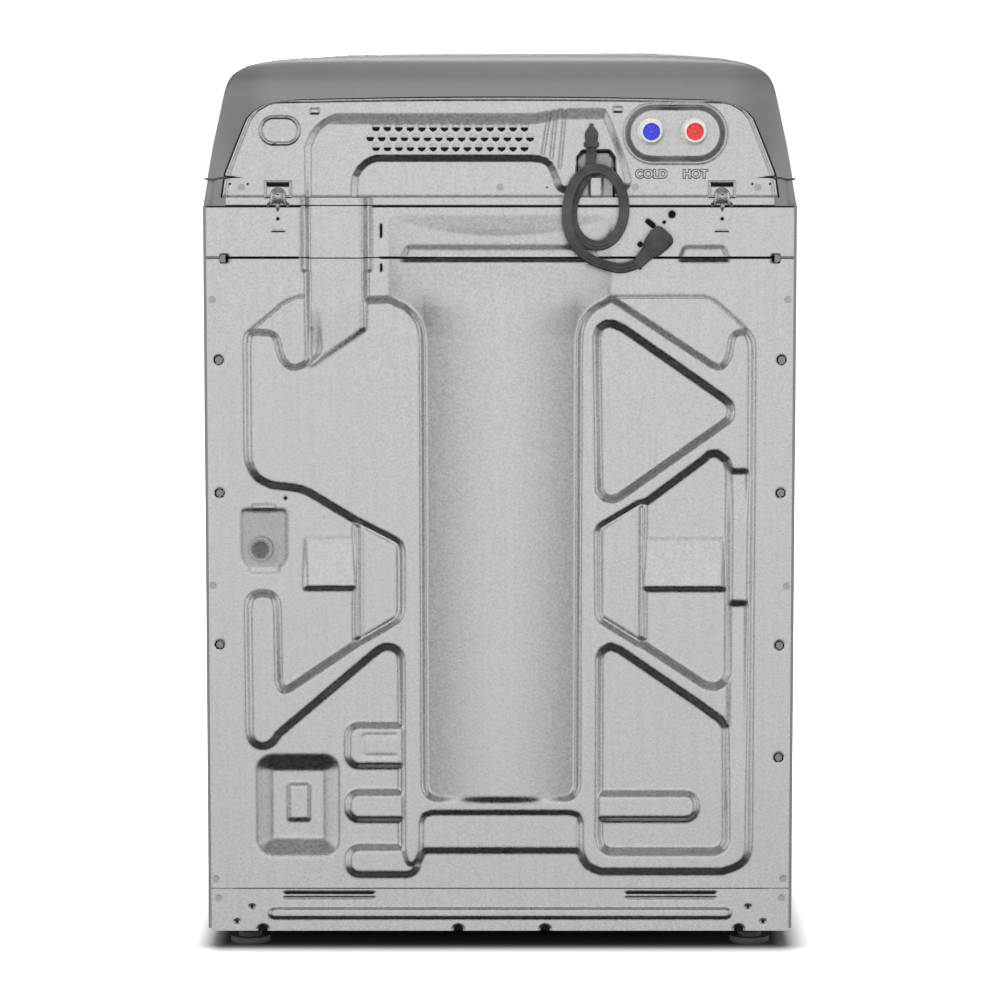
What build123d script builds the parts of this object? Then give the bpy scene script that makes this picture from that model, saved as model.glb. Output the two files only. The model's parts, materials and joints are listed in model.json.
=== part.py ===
"""Top load washing machine. Front faces -Y, rear faces +Y, floor at Z = 0, origin under its middle."""
from build123d import *
import math
import os

# ---- driving dimensions, mm ----
WIDTH = 698.0            # cabinet, side to side
FRONT = -355.5           # front face of the cabinet
BACK = 338.0             # plane of the cabinet's rear flanges
INLET_TIP = 355.5        # rearmost point, the threaded water inlets
BASE = 26.0              # underside of the cabinet
SEAM = 890.0             # cabinet to top deck
DECK = 921.0             # top of the deck
CROWN = 1067.0           # top of the console
SHEET = 1.0              # sheet metal
RAISE = 9.0              # height of the pressed frame on the rear panel
TUB_Y = -10.0            # wash axis, ahead of the middle to leave room for the console
TUB_R = 290.0
BASKET_R = 262.0
TUB_FLOOR = 300.0
TUB_TOP = 835.0
FOOT_X, FOOT_Y = 302.0, (-308.0, 291.0)
ROD_X, ROD_Y = 285.0, (-265.0, 245.0)
MOTOR = (-150.0, TUB_Y)
PUMP = (170.0, TUB_Y)
RUN_FIT = 0.06           # radial clearance of shafts and sliding pieces

HALF = WIDTH / 2
PARTS = "parts"
os.makedirs(PARTS, exist_ok=True)


def save(piece, name):
    """Labels a finished piece and writes it to its own STEP file."""
    piece.label = name
    export_step(piece, f"{PARTS}/{name}.step")


def rear_plane(y):
    """A plane facing the rear: its x runs to the left of the machine's front, its y runs up."""
    return Plane(origin=(0, y, 0), x_dir=(-1, 0, 0), z_dir=(0, 1, 0))


def flat(z):
    return Plane.XY.offset(z)


def ring(low, high, outer, inner=0.0, centre=(0.0, TUB_Y)):
    """Adds a disc, or a ring where inner is given, to the part being built."""
    with BuildSketch(flat(low)) as face:
        with Locations(centre):
            Circle(outer)
            if inner:
                Circle(inner, mode=Mode.SUBTRACT)
    extrude(face.sketch, amount=high - low)


def bore(low, high, radius, centre=(0.0, TUB_Y)):
    """Cuts an upright round hole."""
    with BuildSketch(flat(low)) as face:
        with Locations(centre):
            Circle(radius)
    extrude(face.sketch, amount=high - low, mode=Mode.SUBTRACT)


def block(x, y, z, mode=Mode.ADD):
    """Adds or cuts a box given by its ranges along X, Y and Z."""
    with BuildSketch(flat(z[0])) as face:
        with Locations(((x[0] + x[1]) / 2, (y[0] + y[1]) / 2)):
            Rectangle(x[1] - x[0], y[1] - y[0])
    extrude(face.sketch, amount=z[1] - z[0], mode=mode)


# ---- cabinet ----
FLANGE = 26.0            # rear return flange of the wrap
BEND = 12.0              # radius of the wrap's front corners

with BuildPart() as cabinet_wrap:
    with BuildSketch(flat(BASE)) as section:
        with Locations((0, (FRONT + BACK) / 2)):
            Rectangle(WIDTH, BACK - FRONT)
        fillet(section.vertices().group_by(Axis.Y)[0], BEND)
        offset(amount=-SHEET, mode=Mode.SUBTRACT)
        with Locations((0, BACK)):
            Rectangle(WIDTH - 2 * FLANGE, 4 * SHEET, mode=Mode.SUBTRACT)
    extrude(amount=SEAM - BASE)
save(cabinet_wrap.part, "cabinet_wrap")

PANEL_X = HALF - 3.5
PANEL_LOW, PANEL_HIGH = 75.0, 828.0
FRAME = [
    (-298, 738), (-264, 766), (-236, 781), (240, 781), (286, 745), (297, 731), (297, 125), (266, 96),
    (-95, 96), (-117, 115), (-117, 356), (-138, 366), (-264, 262), (-272, 250), (-292, 250), (-299, 262),
    (-299, 420), (-292, 431), (-272, 431), (-264, 420), (-262, 322), (-255, 316), (-169, 372), (-122, 399),
    (-117, 407), (-117, 487), (-170, 517), (-233, 557), (-270, 559), (-298, 588),
]
TRIANGLE = [(114, 738), (120, 747), (133, 751), (146, 745), (265, 662), (272, 650), (265, 634), (141, 546),
            (129, 544), (114, 562)]
HEXAGON = [(255, 599), (271, 580), (271, 325), (256, 319), (244, 320), (170, 371), (118, 401), (115, 408),
           (115, 505), (164, 538), (173, 540), (241, 592)]
LOWER_POCKET = [(131, 368), (143, 362), (262, 279), (269, 270), (269, 128), (262, 121), (127, 121),
                (119, 130), (119, 358)]
PORT = (-279.0, 494.0)   # middle of the drain pocket
OUTLET = (-283.0, 484.0)
OUTLET_R = 14.2
POCKET = 10.0            # depth of the drain pocket


def pressed_frame(inset):
    """The raised frame of the rear panel as a face, drawn in by inset all round its walls."""
    with BuildSketch() as face:
        Polygon(*FRAME, align=None)
        offset(amount=-inset, kind=Kind.INTERSECTION)
        for recess in (TRIANGLE, HEXAGON, LOWER_POCKET):
            with BuildSketch(mode=Mode.PRIVATE) as hollow:
                Polygon(*recess, align=None)
                offset(amount=inset, kind=Kind.INTERSECTION)
            add(hollow.sketch, mode=Mode.SUBTRACT)
    return face.sketch


outer_frame = pressed_frame(0.001)
inner_frame = pressed_frame(SHEET)

with BuildPart() as rear_panel:
    with BuildSketch(rear_plane(BACK)):
        with Locations((0, (PANEL_LOW + PANEL_HIGH) / 2)):
            Rectangle(2 * PANEL_X, PANEL_HIGH - PANEL_LOW)
    extrude(amount=SHEET)
    with BuildSketch(rear_plane(BACK)):
        add(outer_frame)
    extrude(amount=RAISE + SHEET)
    with BuildSketch(rear_plane(BACK)):
        add(inner_frame)
    extrude(amount=RAISE, mode=Mode.SUBTRACT)
    with BuildSketch(rear_plane(BACK + SHEET)):
        with Locations(PORT):
            RectangleRounded(54, 68, 8)
    extrude(amount=-POCKET - 2 * SHEET)
    with BuildSketch(rear_plane(BACK + SHEET)):
        with Locations(PORT):
            RectangleRounded(52, 66, 7)
    extrude(amount=-POCKET - SHEET, mode=Mode.SUBTRACT)
    with BuildSketch(rear_plane(BACK + SHEET)):
        with Locations(OUTLET):
            Circle(OUTLET_R + 0.5)
    extrude(amount=-POCKET - 3 * SHEET, mode=Mode.SUBTRACT)
    with BuildSketch(rear_plane(BACK)):
        with Locations((-332, 708), (-332, 550), (-333, 369), (332, 708), (332, 550), (332, 368), (332, 233)):
            Circle(5)
    extrude(amount=SHEET, mode=Mode.SUBTRACT)
save(rear_panel.part, "rear_panel")

PLUG = (186.0, 851.0)    # middle of the parked plug, on the upper rear panel
PLUG_TURN = 48.0         # its axis, degrees above the rear view's x

with BuildPart() as rear_upper_panel:
    with BuildSketch(rear_plane(BACK)):
        with Locations((0, (PANEL_HIGH + 1 + SEAM - 1) / 2)):
            Rectangle(2 * PANEL_X, SEAM - PANEL_HIGH - 2)
    extrude(amount=SHEET)
    with BuildSketch(rear_plane(BACK + SHEET)):
        with Locations(Location((*PLUG, 0), PLUG_TURN)):
            with Locations((-3, 6.35), (-3, -6.35)):
                Rectangle(7.4, 2.6)
            with Locations((9, 0)):
                Circle(3.0)
        with Locations((202, 879)):
            Circle(4.5)
        with Locations((-140, 860)):
            SlotOverall(14, 3.5, rotation=90)
    extrude(amount=-SHEET, mode=Mode.SUBTRACT)
save(rear_upper_panel.part, "rear_upper_panel")

RAIL_LEG = HALF - FLANGE - 1
with BuildPart() as base_rear_rail:
    with BuildSketch(rear_plane(BACK)):
        with Locations((0, (BASE + PANEL_LOW - 1) / 2)):
            Rectangle(2 * PANEL_X, PANEL_LOW - 1 - BASE)
        with Locations((-205, 70.5), (205, 70.5), (-205, 64.5), (205, 64.5)):
            SlotOverall(108, 3, mode=Mode.SUBTRACT)
    extrude(amount=SHEET)
    for level in (BASE, PANEL_LOW - 1 - SHEET):
        block((-RAIL_LEG, RAIL_LEG), (BACK - 26, BACK), (level, level + SHEET))
    with BuildSketch(rear_plane(BACK + SHEET)):
        with Locations((0, 46)):
            SlotOverall(560, 15)
    extrude(amount=3)
save(base_rear_rail.part, "base_rear_rail")

BRACKET = 3.0
INSIDE = HALF - SHEET
with BuildPart() as base_front_rail:
    block((-INSIDE + 1, INSIDE - 1), (FRONT + SHEET + 13, FRONT + 40), (BASE + 1 + BRACKET, BASE + 42))
    block((-INSIDE + 1, INSIDE - 1), (FRONT + SHEET + 15, FRONT + 40), (BASE + 3 + BRACKET, BASE + 40), Mode.SUBTRACT)
save(base_front_rail.part, "base_front_rail")

FOOT_STUD = 5.0
with BuildPart() as foot_brackets:
    for side in (-1, 1):
        for y in FOOT_Y:
            block(
                (side * FOOT_X - 30, side * FOOT_X + 30), (y - 30, y + 30), (BASE + 1, BASE + 1 + BRACKET)
            )
            bore(BASE, BASE + 5, FOOT_STUD + RUN_FIT, (side * FOOT_X, y))
save(foot_brackets.part, "foot_brackets")

for side, sx in (("left", -1), ("right", 1)):
    for end, y in zip(("front", "rear"), FOOT_Y):
        with BuildPart() as foot:
            ring(0, 8, 23.5, centre=(sx * FOOT_X, y))
            ring(8, 14, 14, centre=(sx * FOOT_X, y))
            with BuildSketch(flat(14)):
                with Locations((sx * FOOT_X, y)):
                    RegularPolygon(9.5, 6)
            extrude(amount=7)
            ring(21, 29 + 32, FOOT_STUD, centre=(sx * FOOT_X, y))
            chamfer(foot.faces().sort_by(Axis.Z)[0].edges(), 1.5)
        save(foot.part, f"foot_{end}_{side}")

# ---- top deck ----
MOUTH_X, MOUTH_Y, MOUTH_R = 230.0, (-290.0, 110.0), 90.0
SKIN = 1.5
STRIKE_X, STRIKE_Y = 198.0, -318.0
CUP_X, CUP_Y = (-215.0, -145.0), (-338.0, -300.0)
FILL = (-203.0, 317.0)   # where the fill hose passes down through the deck
HOSE_R = 9.0


def tapered_box(low, high, inset):
    """A box with the deck's sloping sides, drawn in by inset."""
    with BuildPart() as shape:
        for level, lean in ((low, 0.0), (high, 5.5)):
            with BuildSketch(flat(level)):
                with Locations((0, (FRONT + lean + BACK) / 2)):
                    RectangleRounded(
                        WIDTH - 2 * lean - 2 * inset, BACK - FRONT - lean - 2 * inset, BEND - inset
                    )
        loft()
    return shape.part


def mouth(grow):
    """The deck's opening over the basket."""
    with Locations((0, sum(MOUTH_Y) / 2)):
        RectangleRounded(2 * (MOUTH_X + grow), MOUTH_Y[1] - MOUTH_Y[0] + 2 * grow, MOUTH_R + grow)


deck_outside = tapered_box(SEAM, DECK, 0)
deck_inside = tapered_box(SEAM - 0.01, DECK - SKIN, SKIN)
with BuildPart() as top_deck:
    add(deck_outside)
    add(deck_inside, mode=Mode.SUBTRACT)
    with BuildSketch(flat(897)):
        mouth(SKIN)
    extrude(amount=DECK - 897)
    with BuildSketch(flat(SEAM)):
        mouth(0)
    extrude(amount=40, mode=Mode.SUBTRACT)
    block((STRIKE_X - 11, STRIKE_X + 11), (STRIKE_Y - 6, STRIKE_Y + 4), (DECK - 5, DECK + 1), Mode.SUBTRACT)
    block(CUP_X, CUP_Y, (DECK - 5, DECK + 1), Mode.SUBTRACT)
    bore(DECK - 5, DECK + 1, HOSE_R + 1, FILL)
save(top_deck.part, "top_deck")

with BuildPart() as detergent_cup:
    block((CUP_X[0] - 4, CUP_X[1] + 4), (CUP_Y[0] - 4, CUP_Y[1] + 4), (DECK, DECK + 2))
    block((CUP_X[0] + 0.5, CUP_X[1] - 0.5), (CUP_Y[0] + 0.5, CUP_Y[1] - 0.5), (DECK - 24, DECK))
    block((CUP_X[0] + 2.5, CUP_X[1] - 2.5), (CUP_Y[0] + 2.5, CUP_Y[1] - 2.5), (DECK - 22, DECK + 2), Mode.SUBTRACT)
save(detergent_cup.part, "detergent_cup")

# ---- console ----
CONSOLE_FRONT = 160.0
CONSOLE_END = [(-343, DECK), (-320, 1034), (-308, 1047), (-290, 1054), (-171, 1064), (0, CROWN)]
CONSOLE_SIDE = [(CONSOLE_FRONT, DECK), (166, 945), (240, 1058), (252, 1066), (265, CROWN), (300, CROWN),
                (322, 1058), (334, 1040), (BACK, 1018), (BACK, DECK)]
REAR_COVER = [(-328, 899), (-324, 927), (-311, 963), (-299, 991), (-287, 1005), (-273, 1011), (-243, 1014),
              (0, 1017)]


def mirrored(points):
    """An outline given by its left half, from its foot to its middle, closed by its mirror image."""
    return points + [(-x, z) for x, z in reversed(points) if x != 0]


def console_block(inset):
    """The console's outside shape drawn in by inset: its rear outline crossed with its end outline."""
    with BuildPart() as shape:
        with BuildSketch(rear_plane(0)):
            Polygon(*mirrored(CONSOLE_END), align=None)
            if inset:
                offset(amount=-inset, kind=Kind.INTERSECTION)
        extrude(amount=400)
        with BuildSketch(Plane.YZ.offset(-400)):
            Polygon(*CONSOLE_SIDE, align=None)
            if inset:
                offset(amount=-inset, kind=Kind.INTERSECTION)
        extrude(amount=800, mode=Mode.INTERSECT)
    return shape.part


SLOPE = Plane(origin=(0, 203, 1001.5), x_dir=(1, 0, 0), z_dir=(0, -113, 74))
FASCIA_X, FASCIA_Y = 285.0, 56.0
PLATE = 3.0              # fascia thickness
console_outside = console_block(0)
console_inside = console_block(SKIN)
with BuildPart() as console_housing:
    add(console_outside)
    add(console_inside, mode=Mode.SUBTRACT)
    with BuildSketch(rear_plane(BACK + 1)):
        Polygon(*mirrored(REAR_COVER), align=None)
        offset(amount=-9, kind=Kind.INTERSECTION)
    extrude(amount=-4, mode=Mode.SUBTRACT)
    with BuildSketch(SLOPE.offset(-4)):
        Rectangle(2 * FASCIA_X - 20, 2 * FASCIA_Y - 20)
    extrude(amount=8, mode=Mode.SUBTRACT)
    bore(DECK - 1, DECK + 3, HOSE_R + 1, FILL)
save(console_housing.part, "console_housing")

KNOBS = {"cycle_knob": (130.0, 0.0, 27.0), "temperature_knob": (-160.0, 0.0, 19.0)}
BUTTONS = {"start_button": (225.0, 0.0)}
BUTTON_X, BUTTON_Y = 26.0, 14.0
SHAFT_R = 4.0
DISPLAY = (0.0, 0.0, 96.0, 26.0)
BOARD = -18.0            # depth of the control board behind the fascia's face
with BuildPart() as console_fascia:
    with BuildSketch(SLOPE):
        RectangleRounded(2 * FASCIA_X, 2 * FASCIA_Y, 10)
    extrude(amount=PLATE)
    with BuildSketch(SLOPE):
        with Locations((-150, -35), (150, -35), (-150, 35), (150, 35)):
            Circle(4)
    extrude(amount=BOARD)
    with BuildSketch(SLOPE):
        for x, y, radius in KNOBS.values():
            with Locations((x, y)):
                Circle(SHAFT_R + RUN_FIT)
        for x, y in BUTTONS.values():
            with Locations((x, y)):
                RectangleRounded(BUTTON_X + 2 * RUN_FIT, BUTTON_Y + 2 * RUN_FIT, 3 + RUN_FIT)
        with Locations(DISPLAY[:2]):
            Rectangle(*DISPLAY[2:])
    extrude(amount=PLATE, mode=Mode.SUBTRACT)
save(console_fascia.part, "console_fascia")

with BuildPart() as display_window:
    with BuildSketch(SLOPE.offset(0.5)):
        with Locations(DISPLAY[:2]):
            Rectangle(*DISPLAY[2:])
    extrude(amount=PLATE - 0.8)
save(display_window.part, "display_window")

with BuildPart() as control_board:
    with BuildSketch(SLOPE.offset(BOARD)):
        Rectangle(400, 84)
    extrude(amount=-1.6)
    with BuildSketch(SLOPE.offset(BOARD)):
        Rectangle(90, 24)
    extrude(amount=12)
save(control_board.part, "control_board")

for name, (x, y, radius) in KNOBS.items():
    with BuildPart() as knob:
        with BuildSketch(SLOPE.offset(PLATE + 0.6)):
            with Locations((x, y)):
                Circle(radius)
        extrude(amount=5)
        with BuildSketch(SLOPE.offset(PLATE + 5.6)):
            with Locations((x, y)):
                Circle(radius * 0.82)
        extrude(amount=14, taper=4)
        with BuildSketch(SLOPE.offset(-12)):
            with Locations((x, y)):
                Circle(SHAFT_R)
        extrude(amount=12 + PLATE + 0.6)
    save(knob.part, name)

for name, (x, y) in BUTTONS.items():
    with BuildPart() as button:
        with BuildSketch(SLOPE.offset(-6)):
            with Locations((x, y)):
                RectangleRounded(BUTTON_X, BUTTON_Y, 3)
        extrude(amount=6 + PLATE + 3)
        with BuildSketch(SLOPE.offset(-2.3)):
            with Locations((x, y)):
                RectangleRounded(BUTTON_X + 5, BUTTON_Y + 5, 3)
        extrude(amount=2)
    save(button.part, name)

INLET_Z = 976.0
INLETS = {"cold": 177.0, "hot": 228.0}
INLET_R = 13.4           # garden hose thread, 27 mm over the crests
DISH = 8.0
STRIP = [(-225, 926), (-225, 962), (-214, 985), (-184, 996), (58, 996), (72, 1002), (117, 1002), (124, 998),
         (143, 942), (149, 921), (146, 912), (134, 909), (129, 899), (84, 899), (62, 914), (58, 936), (44, 945),
         (-148, 945), (-171, 926)]
STRIP_RAISE = 5.0
CORD_POCKET = (106.5, 929.0, 45.0, 60.0)
with BuildPart() as console_rear_panel:
    with BuildSketch(rear_plane(BACK)):
        Polygon(*mirrored(REAR_COVER), align=None)
    extrude(amount=SHEET)
    with BuildSketch(rear_plane(BACK)):
        Polygon(*STRIP, align=None)
    extrude(amount=STRIP_RAISE + SHEET)
    with BuildSketch(rear_plane(BACK)):
        Polygon(*STRIP, align=None)
        offset(amount=-SHEET, kind=Kind.INTERSECTION)
    extrude(amount=STRIP_RAISE, mode=Mode.SUBTRACT)
    with BuildSketch(rear_plane(BACK + SHEET)):
        with Locations((205.5, 974)):
            SlotOverall(112, 60)
    extrude(amount=-DISH - 2 * SHEET)
    with BuildSketch(rear_plane(BACK + SHEET)):
        with Locations((205.5, 974)):
            SlotOverall(110, 58)
    extrude(amount=-DISH - SHEET, mode=Mode.SUBTRACT)
    with BuildSketch(rear_plane(BACK)):
        for u in INLETS.values():
            with Locations((u, INLET_Z)):
                Circle(INLET_R + 0.6)
    extrude(amount=-DISH - 2 * SHEET, mode=Mode.SUBTRACT)
save(console_rear_panel.part, "console_rear_panel")

VALVE_FACE = BACK - DISH - SHEET
with BuildPart() as water_valve:
    with BuildSketch(rear_plane(VALVE_FACE)):
        with Locations((202.5, INLET_Z)):
            RectangleRounded(98, 40, 6)
    extrude(amount=-22)
    with BuildSketch(rear_plane(VALVE_FACE - 22)):
        for u in INLETS.values():
            with Locations((u, INLET_Z)):
                Circle(15)
    extrude(amount=-38)
    ring(950, INLET_Z - 20, 8, centre=(FILL[0], VALVE_FACE - 12))
save(water_valve.part, "water_valve")

for name, u in INLETS.items():
    with BuildPart() as inlet:
        with BuildSketch(rear_plane(VALVE_FACE)):
            with Locations((u, INLET_Z)):
                Circle(INLET_R - 0.6)
        extrude(amount=BACK - DISH - VALVE_FACE + 1)
        with BuildSketch(rear_plane(BACK - DISH)):
            with Locations((u, INLET_Z)):
                Circle(17)
        extrude(amount=3)
        with BuildSketch(rear_plane(BACK - DISH + 3)):
            with Locations((u, INLET_Z)):
                Circle(INLET_R)
        extrude(amount=INLET_TIP - BACK + DISH - 3)
        with BuildSketch(rear_plane(INLET_TIP)):
            with Locations((u, INLET_Z)):
                Circle(10)
        extrude(amount=-14, mode=Mode.SUBTRACT)
    save(inlet.part, f"{name}_inlet")
    with BuildPart() as screen:
        with BuildSketch(rear_plane(INLET_TIP - 14)):
            with Locations((u, INLET_Z)):
                Circle(9.95)
        extrude(amount=9)
    save(screen.part, f"{name}_screen")

with BuildPart() as fill_hose:
    start = (*FILL, 950)
    with BuildLine() as run:
        FilletPolyline(start, (*FILL, 872), (-120, 200, 872), (-120, 160, 872), radius=20)
    with BuildSketch(Plane(origin=start, z_dir=run.line % 0)):
        Circle(HOSE_R - 0.5)
        Circle(HOSE_R - 3, mode=Mode.SUBTRACT)
    sweep()
save(fill_hose.part, "fill_hose")

with BuildPart() as fill_spout:
    block((-150, -90), (118, 160), (862, 889))
    block((-147, -93), (121, 157), (861, 883), Mode.SUBTRACT)
save(fill_spout.part, "fill_spout")

with BuildPart() as strain_relief:
    relief = rear_plane(BACK + SHEET + STRIP_RAISE)
    with BuildSketch(relief):
        with Locations((107, 968)):
            RectangleRounded(17, 25, 3)
    extrude(amount=12)
    chamfer(strain_relief.faces().sort_by(Axis.Y)[-1].edges(), 2)
save(strain_relief.part, "strain_relief")

# The clips that hook the console down onto the deck, one near each end.
with BuildPart() as hold_down_clips:
    for side in (-1, 1):
        with BuildSketch(rear_plane(BACK + SHEET)):
            with Locations((side * 260.5, 909)):
                Rectangle(33, 20)
            with Locations((side * 260.5, 897)):
                RectangleRounded(20, 16, 5)
            with Locations((side * 260.5, 913.5)):
                Rectangle(27, 3, mode=Mode.SUBTRACT)
        extrude(amount=2.5)
save(hold_down_clips.part, "hold_down_clips")

SCREWS = [(0, 911), (159, 911), (-304, 911), (303, 911), (-339, 779), (339, 779), (-341, 440), (340, 439),
          (-340, 86), (339, 86), (-337, 63), (337, 63)]
with BuildPart() as rear_screws:
    with BuildSketch(rear_plane(BACK + SHEET)):
        with Locations(*SCREWS):
            RegularPolygon(4.2, 6)
    extrude(amount=3)
save(rear_screws.part, "rear_screws")

# ---- drain ----
with BuildPart() as drain_port:
    with BuildSketch(rear_plane(BACK - POCKET)):
        with Locations(OUTLET):
            Circle(20)
    extrude(amount=2.5)
    with BuildSketch(rear_plane(BACK - 22)):
        with Locations(OUTLET):
            Circle(OUTLET_R)
    extrude(amount=30)
    with BuildSketch(rear_plane(BACK - 22)):
        with Locations(OUTLET):
            Circle(OUTLET_R - 2.8)
    extrude(amount=30, mode=Mode.SUBTRACT)
save(drain_port.part, "drain_port")

PUMP_OUT = (PUMP[0], PUMP[1] + 54, 232)
DRAIN_R = 11.0
with BuildPart() as drain_hose:
    end = (-OUTLET[0], BACK - 22, OUTLET[1])
    with BuildLine() as run:
        FilletPolyline(
            PUMP_OUT, (PUMP[0], 120, PUMP_OUT[2]), (205, 225, 224), (248, 285, 252), (252, 286, 400),
            (end[0], 288, end[2]), end, radius=18,
        )
    with BuildSketch(Plane(origin=PUMP_OUT, z_dir=run.line % 0)):
        Circle(DRAIN_R)
        Circle(DRAIN_R - 2.5, mode=Mode.SUBTRACT)
    sweep()
save(drain_hose.part, "drain_hose")

# ---- power cord ----
CORD_R = 3.0
ROUTE = [  # rear view x, distance to the rear, height
    (107, 350, 955.5), (107, 350, 936), (96, 348, 917), (85, 348, 894), (84, 350, 869), (95, 354, 849),
    (115, 355, 841), (134, 355, 850), (145, 353, 871), (146, 350, 896), (138, 350, 919), (120, 354, 934),
    (100, 356, 932), (86, 356, 917), (79, 356, 895), (78, 357, 870), (86, 360, 846), (103, 360, 828),
    (126, 357, 819), (147, 354, 815), (163, 353, 823),
]
route = [Vector(-u, y, z) for u, y, z in ROUTE]
runs = [b - a for a, b in zip(route, route[1:])]
radii = []
for before, after in zip(runs, runs[1:]):
    turn = math.radians(before.get_angle(after))
    radii.append(0.45 * min(before.length, after.length) / math.tan(turn / 2))
print("cord radii", [round(r) for r in radii])
with BuildPart() as power_cord:
    with BuildLine() as run:
        FilletPolyline(*route, radius=radii)
    cord_length = run.wire().length
    with BuildSketch(Plane(origin=route[0], z_dir=run.line % 0)):
        Circle(CORD_R)
    sweep()
print("cord length", round(cord_length), "volume ratio",
      round(power_cord.part.volume / (math.pi * CORD_R**2 * cord_length), 4))
save(power_cord.part, "power_cord")

PLUG_BACK = BACK + SHEET + 0.5
neck = Plane(origin=route[-1], z_dir=run.line % 1)
with BuildPart() as power_plug:
    with BuildSketch(rear_plane(PLUG_BACK)):
        with Locations(Location((*PLUG, 0), PLUG_TURN)):
            RectangleRounded(38, 26, 8)
    extrude(amount=22)
    with BuildSketch(neck):
        Circle(6)
    extrude(amount=16)
    with BuildSketch(rear_plane(PLUG_BACK)):
        with Locations(Location((*PLUG, 0), PLUG_TURN)):
            with Locations((-3, 6.35), (-3, -6.35)):
                Rectangle(6.3, 1.5)
            with Locations((9, 0)):
                Circle(2.4)
    extrude(amount=-17)
save(power_plug.part, "power_plug")

# ---- lid ----
LID_X, LID_Y = 288.0, (-346.0, 146.0)
LID_LOW, LID_HIGH = DECK + 1.5, DECK + 21.5
HINGE = (140.0, DECK + 11.0)
PIN_R = 4.0
WINDOW_X, WINDOW_Y = 205.0, (-300.0, 70.0)


def window(grow):
    """The lid's window outline."""
    with Locations((0, sum(WINDOW_Y) / 2)):
        RectangleRounded(2 * (WINDOW_X + grow), WINDOW_Y[1] - WINDOW_Y[0] + 2 * grow, 40 + grow)


lid_middle = (0, sum(LID_Y) / 2)
with BuildPart() as lid_frame:
    with BuildSketch(flat(LID_LOW)):
        with Locations(lid_middle):
            RectangleRounded(2 * LID_X, LID_Y[1] - LID_Y[0], 14)
    extrude(amount=LID_HIGH - LID_LOW)
    with BuildSketch(flat(LID_LOW)):
        with Locations(lid_middle):
            RectangleRounded(2 * LID_X - 2 * SKIN, LID_Y[1] - LID_Y[0] - 2 * SKIN, 12.5)
    extrude(amount=LID_HIGH - LID_LOW - 2, mode=Mode.SUBTRACT)
    with BuildSketch(flat(LID_HIGH - 8)):
        window(10)
    extrude(amount=8)
    with BuildSketch(flat(LID_HIGH - 8)):
        window(-6)
    extrude(amount=8, mode=Mode.SUBTRACT)
    with BuildSketch(flat(LID_HIGH - 4)):
        window(0)
    extrude(amount=4, mode=Mode.SUBTRACT)
    for side in (-1, 1):
        inner, outer_x = sorted((side * (LID_X - 40), side * (LID_X - 20)))
        block((inner, outer_x), (HINGE[0] - 7, LID_Y[1] - SKIN), (LID_LOW + 1, LID_HIGH - 2))
        block(sorted((side * (LID_X - 19.7), side * (LID_X - 8))), (HINGE[0] - 9, LID_Y[1] + 1),
              (LID_LOW - 1, LID_HIGH - 2), Mode.SUBTRACT)
    block((STRIKE_X - 8, STRIKE_X + 8), (STRIKE_Y - 1.5, STRIKE_Y + 1.5), (DECK - 15, LID_HIGH - 2))
    # the rear lip is cut short, so that it clears the deck as the lid swings
    block((-LID_X - 1, LID_X + 1), (LID_Y[1] - 3, LID_Y[1] + 1), (LID_LOW - 1, LID_LOW + 2), Mode.SUBTRACT)
    block((STRIKE_X - 3.5, STRIKE_X + 3.5), (STRIKE_Y - 2, STRIKE_Y + 2), (DECK - 12.5, DECK - 5.5), Mode.SUBTRACT)
    with BuildSketch(Plane.YZ.offset(-LID_X)):
        with Locations(HINGE):
            Circle(PIN_R + RUN_FIT)
    extrude(amount=60, mode=Mode.SUBTRACT)
    with BuildSketch(Plane.YZ.offset(LID_X)):
        with Locations(HINGE):
            Circle(PIN_R + RUN_FIT)
    extrude(amount=-60, mode=Mode.SUBTRACT)
save(lid_frame.part, "lid_frame")

with BuildPart() as lid_glass:
    with BuildSketch(flat(LID_HIGH - 4)):
        window(-0.2)
    extrude(amount=3.6)
save(lid_glass.part, "lid_glass")

with BuildPart() as hinge_brackets:
    for side in (-1, 1):
        span = sorted((side * (LID_X - 17.5), side * (LID_X - 11)))
        block(span, (HINGE[0] - 6, HINGE[0] + 6), (DECK, HINGE[1] + 6))
        with BuildSketch(Plane.YZ.offset(span[0])):
            with Locations(HINGE):
                Circle(PIN_R)
        extrude(amount=span[1] - span[0], mode=Mode.SUBTRACT)
save(hinge_brackets.part, "hinge_brackets")

with BuildPart() as hinge_pins:
    for side in (-1, 1):
        span = sorted((side * (LID_X - 38), side * (LID_X - 11)))
        with BuildSketch(Plane.YZ.offset(span[0])):
            with Locations(HINGE):
                Circle(PIN_R)
        extrude(amount=span[1] - span[0])
save(hinge_pins.part, "hinge_pins")

BOLT = 5.0
with BuildPart() as lid_lock:
    block((STRIKE_X - 14, STRIKE_X + 14), (STRIKE_Y - 15, STRIKE_Y + 25), (DECK - 26, DECK - SKIN))
    block((STRIKE_X - 11, STRIKE_X + 11), (STRIKE_Y - 6, STRIKE_Y + 4), (DECK - 20, DECK), Mode.SUBTRACT)
    half_bolt = BOLT / 2 + RUN_FIT
    block((STRIKE_X - half_bolt, STRIKE_X + half_bolt), (STRIKE_Y - 10, STRIKE_Y + 23),
          (DECK - 9 - half_bolt, DECK - 9 + half_bolt), Mode.SUBTRACT)
save(lid_lock.part, "lid_lock")

with BuildPart() as lock_bolt:
    block((STRIKE_X - BOLT / 2, STRIKE_X + BOLT / 2), (STRIKE_Y + 3, STRIKE_Y + 21),
          (DECK - 9 - BOLT / 2, DECK - 9 + BOLT / 2))
save(lock_bolt.part, "lock_bolt")

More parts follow.
